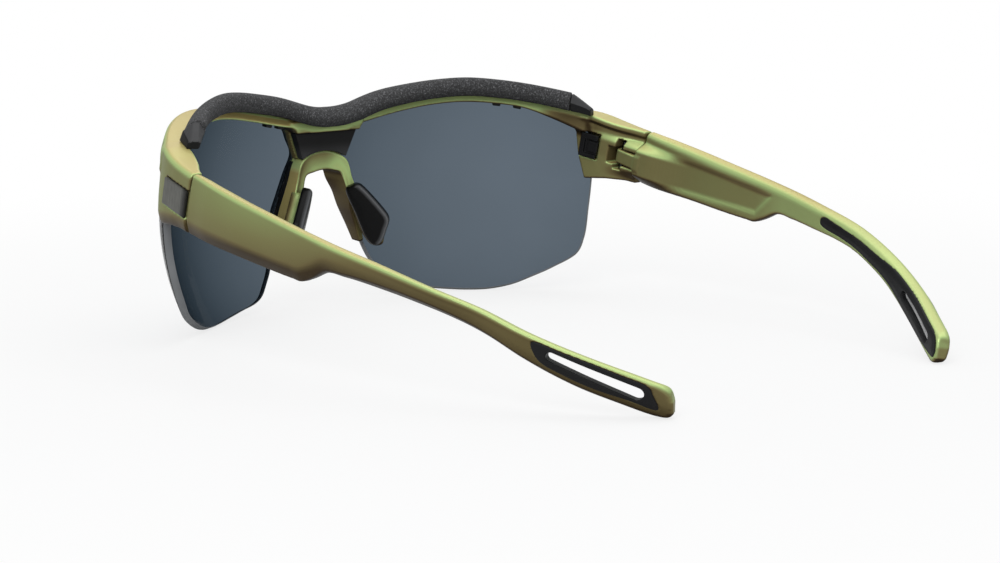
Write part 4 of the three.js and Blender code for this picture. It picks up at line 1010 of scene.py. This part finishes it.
# %% Lens meshes
LENS_RINGS, EDGE_ROUND = 22, 0.15
LENS_CENTRE = np.array([27.0, -8.0])
rear_rim, front_rim = inward(lens_rim, EDGE_ROUND), inward(lens_rim, LENS_EDGE_SLANT + EDGE_ROUND)
grow = np.linspace(0.03, 1, LENS_RINGS)[:, None, None]
lens_rear = LENS_CENTRE + grow * (rear_rim - LENS_CENTRE)
lens_front = (LENS_CENTRE + grow * (front_rim - LENS_CENTRE))[::-1]
edge = np.stack([lens_rim, inward(lens_rim, LENS_EDGE_SLANT)])
flat_rings = np.concatenate([lens_rear, edge, lens_front])
edge_rises = [LENS_REAR + EDGE_ROUND, LENS_THICKNESS - EDGE_ROUND]
rises = np.concatenate([np.full(LENS_RINGS, LENS_REAR), edge_rises, np.full(LENS_RINGS, LENS_THICKNESS)])
rises = np.broadcast_to(rises[:, None], flat_rings.shape[:2])
points, quads, fans = closed_rings(dome(flat_rings[..., 0], flat_rings[..., 1], rises))
quad_ring = np.arange(len(quads)) // len(lens_rim)
on_edge = (quad_ring >= LENS_RINGS - 1) & (quad_ring < LENS_RINGS + 2)
# The edge faces get the light grey of the painted sheen.
both("lens_shell", points, [[quads[~on_edge], fans], [quads[on_edge]]], [lens_smoke, lens_edge_sheen], "front",
     "lens", slot="lens_smoke")

# %% [markdown]
# ## Nose bridge
# The bridge is a painted saddle with two arms that spread down to the nose pads, and a black seal runs
# along each arm beside the lens. Box modelling would do, but a section carried along a path keeps the
# edges even: four sides with round corners go up one arm, over the nose and down the other. The corners
# come from a few stations and change smoothly between them.

# %% Nose bridge path
ARM = [(5.1, -29.8, 6.35, -29.3, -42.9, -39.8, -39.8), (3.5, -25.7, 5.45, -25.1, -44.1, -39.9, -39.9),
       (1.5, -21.5, 4.4, -21, -45, -39.6, -39.6), (0.2, -17.7, 3.1, -17.1, -45.3, -39.1, -39.1),
       (-0.5, -14.6, 1.8, -13.8, -45.4, -39.9, -39.8), (-1.55, -12.5, 0.25, -9.45, -45.5, -40.4, -40.4)]
FRONT_INNER = (5.1, 3.5, 1.5, -0.2, -2.3, -3.25)
SADDLE_WAYS = (0.62, 0.3, 0, -0.3, -0.62)
SCOOP, SECTION_ROUND, SEAL_START = 0.25, 0.4, 0.64
arm = np.column_stack([np.array(ARM) + (NASAL, 0, NASAL, 0, 0, 0, 0), np.array(FRONT_INNER) + NASAL])
saddle = np.array([(4.9875 * t, -11.4 - 1.05 * t * t, 6.4 * t, INSERT_LOW + ARCH_RISE * (1 - t * t) - 0.1,
                    -45.2, -40.2, -41.3, 3.4 * t) for t in SADDLE_WAYS])
stations = np.concatenate([arm, saddle, arm[::-1] * (-1, 1, -1, 1, 1, 1, 1, -1)])
xi, zi, xo, zo, front_y, rear_in, rear_out, xf = smooth_line(stations, 140).T
print("bridge path with", len(stations), "stations")


def round_section(corners, radius, count):
    """A four-sided section whose corners swing from side to side on a quarter turn."""
    angle = np.linspace(0, math.pi / 2, count)[:, None, None]
    rows = []
    for k in range(4):
        corner, before, after = corners[:, k], corners[:, k - 1], corners[:, (k + 1) % 4]
        to_before = (before - corner) / np.linalg.norm(before - corner, axis=1, keepdims=True) * radius
        to_after = (after - corner) / np.linalg.norm(after - corner, axis=1, keepdims=True) * radius
        rows.append(corner + (1 - np.sin(angle)) * to_before + (1 - np.cos(angle)) * to_after)
    return rows


# %% Nose bridge mesh: the seal and the marks go by columns of the section
# Painted light on the paint's ramp: the arms' outer faces beside the lenses and the rear of the right bend
# are painted lighter.
ARM_LIGHT, BEND_LIGHT = 0.42, 0.24
on_arm = ease(np.abs(xo), 7, 8.2)
xo_front = xo + 0.1 * np.sign(xo) * on_arm
corners = np.stack([np.stack(corner, axis=1) for corner in (
    (xf, front_y, zi), (xi, rear_in, zi), (xo, rear_out, zo), (xo_front, front_y, zo))], axis=1)
rows = round_section(corners, SECTION_ROUND, 6)
spread = np.linspace(0, 1, 12)[1:-1, None, None]
hollow = SCOOP * ease(zi, -21, -15)[None, :, None] * 4 * spread * (1 - spread) * np.array([0, -1, 0])
rear_side = rows[1][-1] + spread * (rows[2][0] - rows[1][-1]) + hollow
seal_start = rows[2][-1:] + SEAL_START * (rows[3][:1] - rows[2][-1:])
section_rows = np.concatenate([rows[0], rows[1], rear_side, rows[2], seal_start, rows[3]])
bridge_rings = section_rows.transpose(1, 0, 2)
points, quads, fans = closed_rings(bridge_rings)
columns = bridge_rings.shape[1]
quad_ring, quad_column = np.divmod(np.arange(len(quads)), columns)
lens_seal = (quad_column >= columns - 7) & (quad_column < columns - 1) & (on_arm[quad_ring] > 0.02)
outer_mark, rear_mark = np.zeros(columns), np.zeros(columns)
outer_mark[-9:-6] = -ARM_LIGHT
rear_mark[8:24] = -BEND_LIGHT
right_bend = ease(xi, 0, -5.5) * ease(zi, -19, -15.5)
bridge_shade = outer_mark * on_arm[:, None] + rear_mark * right_bend[:, None]
put("nose_saddle", points, [[quads[~lens_seal], fans], [quads[lens_seal]]], [paint, black_plastic],
    "front", ["nose_bridge"], slot="frame_paint", marks=ring_marks(bridge_shade))

# %% [markdown]
# ## Nose pads
# The pads are soft black rubber with a flat face and a full round edge, and their round rear edge is
# painted paler as a painted highlight. Each is an outline in the pad's own plane, and rings carry it from
# the back, round the edge and over the face. A painted holder of the same kind stands behind each pad,
# its back half towards the lens darker as painted shade.

# %% Pad outlines
def unit(way):
    """A direction of length one."""
    return np.array(way) / np.linalg.norm(way)


PAD_ORIGIN = np.array([NASAL - 2.2, -38.3, -15.0])
PAD_ACROSS, PAD_ALONG = unit((0.64, 0.67, 0.11)), unit((0.34, 0.145, -0.88))
PAD_OUT = np.cross(PAD_ACROSS, PAD_ALONG)
PAD_SHIFT = np.array([-0.4, 0.7])
PAD_OUTLINE = PAD_SHIFT + [
    (0.1, 1.3), (0.5, 0.5), (1.6, 0), (2.9, -0.45), (3.9, -0.2), (4.6, 0.6),
    (5.7, 2.6), (7.2, 5.8), (8.05, 8.2), (7.9, 9.6), (6.6, 11.8), (5.2, 14), (4.2, 15.1), (3, 15.8),
    (1.9, 15.5), (1, 13.7), (0.5, 7.5)]
HOLDER_OUTLINE = PAD_SHIFT + [
    (-0.3, 2.3), (0.2, 1.6), (2.6, 1.4), (4.4, 5), (6.0, 9.8), (5.0, 13.4),
    (4.2, 16.0), (2.6, 16.6), (1.2, 16.1), (0.3, 14), (-0.2, 8)]
PAD_ROUND = 1.2


def pillow(rim, profile, shrink):
    """Rings of a flat pad: rows of inset and height go round the edge, then rings shrink inwards."""
    rings = [np.column_stack([inward(rim, inset), np.full(len(rim), height)]) for inset, height in profile]
    middle = rings[0].mean(axis=0)
    start = [middle + (rings[0] - middle) * share for share in (0.05, 0.5)]
    top = profile[-1][1]
    end = [rings[-1] * (share, share, 0) + middle * (1 - share, 1 - share, 0) + (0, 0, top + rise)
           for share, rise in shrink]
    return np.stack(start + rings + end)


def in_pad_plane(rings):
    """Pad lengths to the worn position."""
    return PAD_ORIGIN + rings[..., :1] * PAD_ACROSS + rings[..., 1:2] * PAD_ALONG + rings[..., 2:] * PAD_OUT


# %% Pad and holder meshes
HOLDER_DARK = 0.46
pad_rim = smooth_line(PAD_OUTLINE, 96, closed=True)
pad_edge = [(0.5, -2.7), (0.15, -2.6), (0, -2.2), (0, -PAD_ROUND)]
pad_edge += [(PAD_ROUND - PAD_ROUND * math.cos(turn), PAD_ROUND * math.sin(turn) - PAD_ROUND)
             for turn in np.linspace(0, math.pi / 2, 7)[1:]]
pad_face = [(0.9, 0.05), (0.75, 0.12), (0.5, 0.2), (0.25, 0.25), (0.04, 0.26)]
pad_rings = in_pad_plane(pillow(pad_rim, pad_edge, pad_face))
points, quads, fans = closed_rings(pad_rings)
# Painted highlight: the pale rubber is darkened everywhere but its round rear edge.
to_rear_edge = ease(pad_rim[:, 0], 2.0, 4.2)
on_round = np.interp(np.arange(len(pad_rings)), [5, 7, 8, 9, 11], [0, 0.55, 1, 0.55, 0])
both("nose_pad_soft", points, [[quads, fans]], [pad_rubber], "front", "nose_pad", slot="soft_rubber",
     soft=True, marks=ring_marks(1 - on_round[:, None] * to_rear_edge, 1, 1))
holder_rim = smooth_line(HOLDER_OUTLINE, 64, closed=True)
holder_edge = [(0.25, -5.0), (0, -4.75), (0, -2.9), (0.25, -2.65)]
points, quads, fans = closed_rings(in_pad_plane(pillow(holder_rim, holder_edge, [(0.5, 0), (0.05, 0)])))
# Painted shade: the holder's back half, towards the lens, is darker.
holder_shade = np.repeat([HOLDER_DARK] * 4 + [0] * 4, len(holder_rim))
both("pad_holder_plate", points, [[quads, fans]], [paint], "front", "pad_holder", slot="frame_paint",
     marks=ring_marks(holder_shade, HOLDER_DARK))

# %% [markdown]
# ## Brow foam
# A half-round strip of open-cell foam runs along the bar, and a thin carrier strip holds it. Both are
# sections carried along the brow. The foam is moulded and cut, not sewn or stuffed, so it needs no cloth
# simulation, and its finish gives it pores and cells. Marks darken its low side as painted shade, less
# towards the left end.

# %% Brow path
FOAM_HEIGHT, FOAM_BASE, FOAM_END, FOAM_FULLNESS = 4.25, 0.25, 54.2, 0.62
FOAM_WIDTH = [(0, 3.2), (1, 3.2), (40, 3.2), (52, 2.9), (63.6, 2.4)]
FOAM_SETBACK = [(0, 0), (12, 0), (25, 1.1), (36, 1.9), (50, 1.9), (58, 1.3), (63.6, 0.5)]


def brow_point(across, behind, z):
    """The way back from brow lengths beside the nose to worn points."""
    level = np.sqrt((LENS_RADIUS - behind) ** 2 - (z - LENS_MIDDLE[2]) ** 2)
    turn = across / LENS_RADIUS
    x, y = LENS_MIDDLE[0] + level * np.sin(turn), LENS_MIDDLE[1] - level * np.cos(turn)
    return np.stack([x, y, z + 0 * level], axis=-1)


def nose_point(share, behind, z):
    """The same over the nose, on the parabola."""
    join = brow_point(np.full_like(z, NOSE_JOIN), np.zeros_like(z), z)
    slope = math.tan(NOSE_JOIN / LENS_RADIUS)
    turn = np.arctan(slope * share)
    x = join[..., 0] * share - behind * np.sin(turn)
    y = join[..., 1] - slope * join[..., 0] * (1 - share ** 2) / 2 + behind * np.cos(turn)
    return np.stack([x, y, z], axis=-1)


def along_brow(place, behind, lift):
    """A worn point by its place on the brow: under 1 it is the share over the nose, above that 1 plus the
    way across from the join. lift counts from the bar's top."""
    share = np.clip(place, 0, 1)
    across = NOSE_JOIN + np.maximum(place - 1, 0)
    z = bar_height(across, share, BAR_TOP, MIDDLE_TOP) + lift
    return np.where((place < 1)[..., None], nose_point(share, behind, z), brow_point(across, behind, z))


foam_places = np.concatenate([np.linspace(0, 1, 30)[:-1], 1 + np.linspace(0, FOAM_END - NOSE_JOIN, 230)])
setback = table(foam_places, FOAM_SETBACK) / 2
foam_width = table(foam_places, FOAM_WIDTH) - setback
foam_middle = FOAM_BEHIND * (0.2 + 0.8 * np.clip(foam_places, 0, 1)) + setback


def brow_rings(section):
    """Rings from one end of the brow to the other: a section of (share of width, lift) at each place."""
    places, widths, middles = (line[:, None] for line in (foam_places, foam_width, foam_middle))
    shares, lifts = section[None, :, 0], section[None, :, 1]
    half = along_brow(places + 0 * shares, middles + widths * shares, lifts + 0 * places)
    return np.concatenate([(half * (-1, 1, 1))[:0:-1], half])


print("foam in", 2 * len(foam_places) - 1, "rings")

# %% Foam mesh
angle = np.linspace(0, math.pi, 37)
round_top = np.stack([np.cos(angle), FOAM_BASE + FOAM_HEIGHT * np.sin(angle) ** FOAM_FULLNESS], axis=1)
under_side = np.stack([np.linspace(-0.9, 0.9, 7), np.full(7, FOAM_BASE - 0.05)], axis=1)
foam_section = np.concatenate([round_top, under_side])
foam_rings = brow_rings(foam_section)
points, quads, fans = closed_rings(foam_rings)
# Painted shade: the marks darken the foam's low side, less towards the left end.
low_side = ease(foam_section[:, 1] - FOAM_BASE, 2.6, 0.4)
low_side = low_side * (1 - 0.6 * ease(foam_rings[:, 0, 0], 10, 40))[:, None]
put("brow_foam_strip", points, [[quads, fans]], [foam_finish], "front", ["brow_foam"], slot="foam",
    soft=True, marks=ring_marks(low_side))

# %% Carrier strip
CARRIER_SECTION = np.array([(-1, 0), (1, 0), (1, 0.1), (0.97, 0.16), (-0.97, 0.16), (-1, 0.1)])
CARRIER_SIZE, CARRIER_LIFT = (0.86, 1.72), (0, 0.04)
points, quads, fans = closed_rings(brow_rings(CARRIER_SECTION * CARRIER_SIZE + CARRIER_LIFT))
put("brow_carrier_strip", points, [[quads, fans]], [black_plastic], "front", ["brow_carrier"],
    slot="black_plastic")

# %% [markdown]
# ## Brow caps
# A hard black wedge closes each end of the foam. Its section has a steep side, a sloping roof and a
# ridge, and it shrinks towards the temple. Its roof is a paler black, painted light for the light that
# falls on top, and a bevel modifier softens the edges.

# %% Caps
CAP_START = 54.5
CAP_FROM = np.array([(2.35, 0.05), (2.35, 2.1), (0.4, 4.2), (-0.9, 4.2), (-2.35, 2.3), (-2.35, 0.05)])
CAP_TO = np.array([(1.3, 0.05), (1.3, 1.5), (0.7, 1.75), (-0.7, 1.75), (-1.3, 1.5), (-1.3, 0.05)])
ROOF_SIDES = (1, 2, 3)
CAP_BEVEL, SHARP_EDGE = 0.3 * MM, math.radians(20)


def cap_corners(share):
    """The cap's six-sided section at a share of its length."""
    section = CAP_FROM + (CAP_TO - CAP_FROM) * share
    place = 1 + CAP_START + share * (CAP_END - CAP_START) - NOSE_JOIN
    return along_brow(np.full(len(section), place), FOAM_BEHIND + section[:, 0], section[:, 1])


points, quads, fans = closed_rings(np.stack([cap_corners(share) for share in np.linspace(0, 1, 5)]))
# The roof faces get the paler black of painted light.
roof = np.isin(np.arange(len(quads)) % len(CAP_FROM), ROOF_SIDES)
caps = both("brow_cap_wedge", points, [[quads[~roof], fans], [quads[roof]]], [black_plastic, cap_lit_roof],
            "front", "brow_cap", slot="black_plastic")
for cap in caps:
    cap.data.shade_flat()
    bevel = cap.modifiers.new("soft_edges", "BEVEL")
    bevel.width, bevel.segments = CAP_BEVEL, 3
    bevel.limit_method, bevel.angle_limit = "ANGLE", SHARP_EDGE

# %% [markdown]
# ## Lens clips
# Small black clips under the bar hold the lens's upper edge. Each is a box with round edges, drawn as a
# field in brow lengths, so that it bends with the bar.

# %% Clips
CLIP_HALF, CLIP_REACH = (1.05, 0.8, 0.6), (1.4, 1.2, 1.0)
CLIP_ROUND, CLIP_BEHIND, CLIP_DROP, CLIP_STEP = 0.3, 0.9, 0.15, 0.1
SIDE_CLIPS, NOSE_CLIPS = (34.4, 39.8), (-3.0, 0.8)


def clip(across):
    """A clip at a place across the brow: the net of a small rounded box, put back on the brow."""
    axes = np.ix_(*[np.arange(-reach, reach + 0.01, CLIP_STEP) for reach in CLIP_REACH])
    points, faces = skin(box(*axes, CLIP_HALF, CLIP_ROUND), axes)
    at = across + points[:, 0]
    return brow_point(at, CLIP_BEHIND + points[:, 1], table(at, BAR_LOW) - CLIP_DROP + points[:, 2]), faces


for number, place in enumerate(SIDE_CLIPS):
    points, faces = clip(place)
    both(f"lens_clip_{number}", points, [[faces]], [black_plastic], "front", slot="black_plastic")
for number, place in enumerate(NOSE_CLIPS):
    points, faces = clip(place)
    put(f"lens_clip_nose_{number}", points, [[faces]], [black_plastic], "front", slot="black_plastic")

# %% [markdown]
# ## Small plates
# The lens latch is a black lever with a raised rim that is open towards the hinge. The badge is a plain
# brushed plate, darker towards its end at the seam as painted shade. The insert over the nose is a black
# trapezoid, darker at its top and paler at its low edge as painted shade and light. All three are small
# fields on fine grids.

# %% Plates
def plate_grid(plate, step, room):
    """A fine grid of lengths from a plate's middle, reaching room past its size."""
    counts = [int(2 * (length / 2 + room) / step) + 1 for length in plate["size"]]
    return grid([-(count - 1) * step / 2 for count in counts], (step,) * 3, counts)


def from_plate(plate, points):
    """Lengths from a plate's middle back to the worn position."""
    dx, dy, dz = points.T
    c, s = math.cos(plate["turn"]), math.sin(plate["turn"])
    x = HALF - plate["inside"] + dx * c - dy * s
    return np.stack([x, *from_slope(plate["along"] + dx * s + dy * c, plate["up"] + dz)], axis=1)


FINE, PLATE_MARGIN = 0.09, 0.3
DISH_HALF, TAB_HALF = (0.65, 1.95, 1.8), (0.32, 1.4, 1.35)
dx, dy, dz = plate_grid(LATCH, FINE, PLATE_MARGIN)
half = np.array(LATCH["size"]) / 2
latch = box(dx, dy, dz, half, 0.25)
dish = box(dx + half[0], dy - 0.9, dz + 0.1, DISH_HALF, 0.3)
latch = round_cut(latch, -dish, 0.1)
tab = box(dx + half[0] - 0.55, dy - 1.0, dz + 0.1, TAB_HALF, 0.2)
points, faces = skin(np.minimum(latch, tab), (dx, dy, dz))
both("lens_latch_lever", relax(from_plate(LATCH, points), faces, 2), [[faces]], [black_plastic],
     "latch_SIDE", "lens_latch", slot="black_plastic")
dx, dy, dz = plate_grid(BADGE, FINE, PLATE_MARGIN)
points, faces = skin(box(dx, dy, dz, np.array(BADGE["size"]) / 2, 0.22), (dx, dy, dz))
# Painted shade: the badge is darker towards its end at the seam, where the real plate turns.
both("badge_plate_brushed", from_plate(BADGE, points), [[faces]], [badge_grey], "front", "badge_plate",
     slot="badge_grey", marks={"shade": ease(points[:, 1], 2.6, 4.6)})

# %% Insert
x, y, z = grid((-10.2, -43.2, -9.7), (0.12,) * 3, (171, 28, 68))
insert_flat = np.abs(y - INSERT_REAR + INSERT_THICKNESS / 2) - INSERT_THICKNESS / 2
points, faces = skin(round_cut(outline(x, z, INSERT_OUTLINE), insert_flat, 0.3), (x, y, z))
# Painted shade and light: the insert is darker at its top and paler at its low edge.
put("bridge_insert_block", points, [[faces]], [insert_plastic], "front", ["bridge_insert"],
    slot="black_plastic", marks={"shade": ease(points[:, 2], -8.2, -4.5)})

# %% [markdown]
# The hinge pins are plain steel rods that hardly show, so they keep the frame file's own shape and get
# the steel finish.

# %% Finishes of the carried-over pieces
for name in ("hinge_pin_left", "hinge_pin_right"):
    carried = frame["nodes"][name]
    carried.data.materials.clear()
    carried.data.materials.append(pin_steel)
    print("finished", name)

# %% [markdown]
# ## Table, light and backdrop
# The photograph's ground is plain white. The table shows white to the eye and through the lenses, fading
# from a lit surface near the sunglasses, where their shadow falls, to plain white further out. Large soft
# lamps stand above and beside, and a dim sky fills the rest.

# %% White table
def looked_at(tree):
    """1 for rays from the camera, straight or through a lens, and 0 for all the others."""
    path = node(tree, "ShaderNodeLightPath")
    return sums(tree, "MAXIMUM", path.outputs["Is Camera Ray"], path.outputs["Is Transmission Ray"])


FLOOR_REACH = 20
GLOW_LOW, GLOW_HIGH, GLOW_START, GLOW_END = 0.78, 1.0, 0.06, 0.34
floor_mesh = bpy.data.meshes.new("table_top")
floor_corners = [(FLOOR_REACH * i, FLOOR_REACH * j, 0) for i, j in ((-1, -1), (1, -1), (1, 1), (-1, 1))]
floor_mesh.from_pydata(floor_corners, [], [(0, 1, 2, 3)])
floor = bpy.data.objects.new("table_top", floor_mesh)
bpy.context.collection.objects.link(floor)
white, tree, principled = finish_nodes("white_table")
floor_mesh.materials.append(white)
shader(principled, Base_Color=(0.8, 0.8, 0.8, 1), Roughness=0.9)
from_middle = node(tree, "ShaderNodeVectorMath", {0: place_on(tree)}, operation="LENGTH")
far = stretch(tree, from_middle.outputs["Value"], GLOW_LOW, GLOW_HIGH, GLOW_START, GLOW_END,
              interpolation_type="SMOOTHSTEP")
glow_share = sums(tree, "MULTIPLY", far, looked_at(tree))
glow = node(tree, "ShaderNodeEmission", {"Color": (1, 1, 1, 1), "Strength": 1.0})
mixed = node(tree, "ShaderNodeMixShader", {0: glow_share, 1: principled.outputs[0], 2: glow.outputs[0]})
feed(tree.nodes["Material Output"], {"Surface": mixed.outputs[0]})
print("table", 2 * FLOOR_REACH, "m wide")

# %% Lamps and sky
LAMPS = [("over", (-0.15, 0.05, 0.75), 0.8, 2.8), ("shoulder", (0.8, 0.45, 0.7), 0.6, 5.0),
         ("brow", (-0.5, -0.6, 0.6), 0.5, 1.0)]
LAMP_AIM = Vector((0, 0, 0.02))
SKY_COLOUR, SKY_LIGHT, SKY_SEEN = (0.96, 0.98, 1.0, 1), 0.42, 1.0
for name, place, size, power in LAMPS:
    lamp = bpy.data.lights.new(name, "AREA")
    lamp.size, lamp.energy = size, power
    lamp_object = bpy.data.objects.new(name, lamp)
    lamp_object.location = place
    lamp_object.rotation_euler = (Vector(place) - LAMP_AIM).to_track_quat("Z", "Y").to_euler()
    bpy.context.collection.objects.link(lamp_object)
world = bpy.data.worlds.new("studio")
bpy.context.scene.world = world
world.use_nodes = True
sky_strength = stretch(world.node_tree, looked_at(world.node_tree), SKY_LIGHT, SKY_SEEN)
feed(world.node_tree.nodes["Background"], {"Color": SKY_COLOUR, "Strength": sky_strength})
bpy.context.scene.view_settings.view_transform = "Standard"
print("lamps", [lamp[0] for lamp in LAMPS])
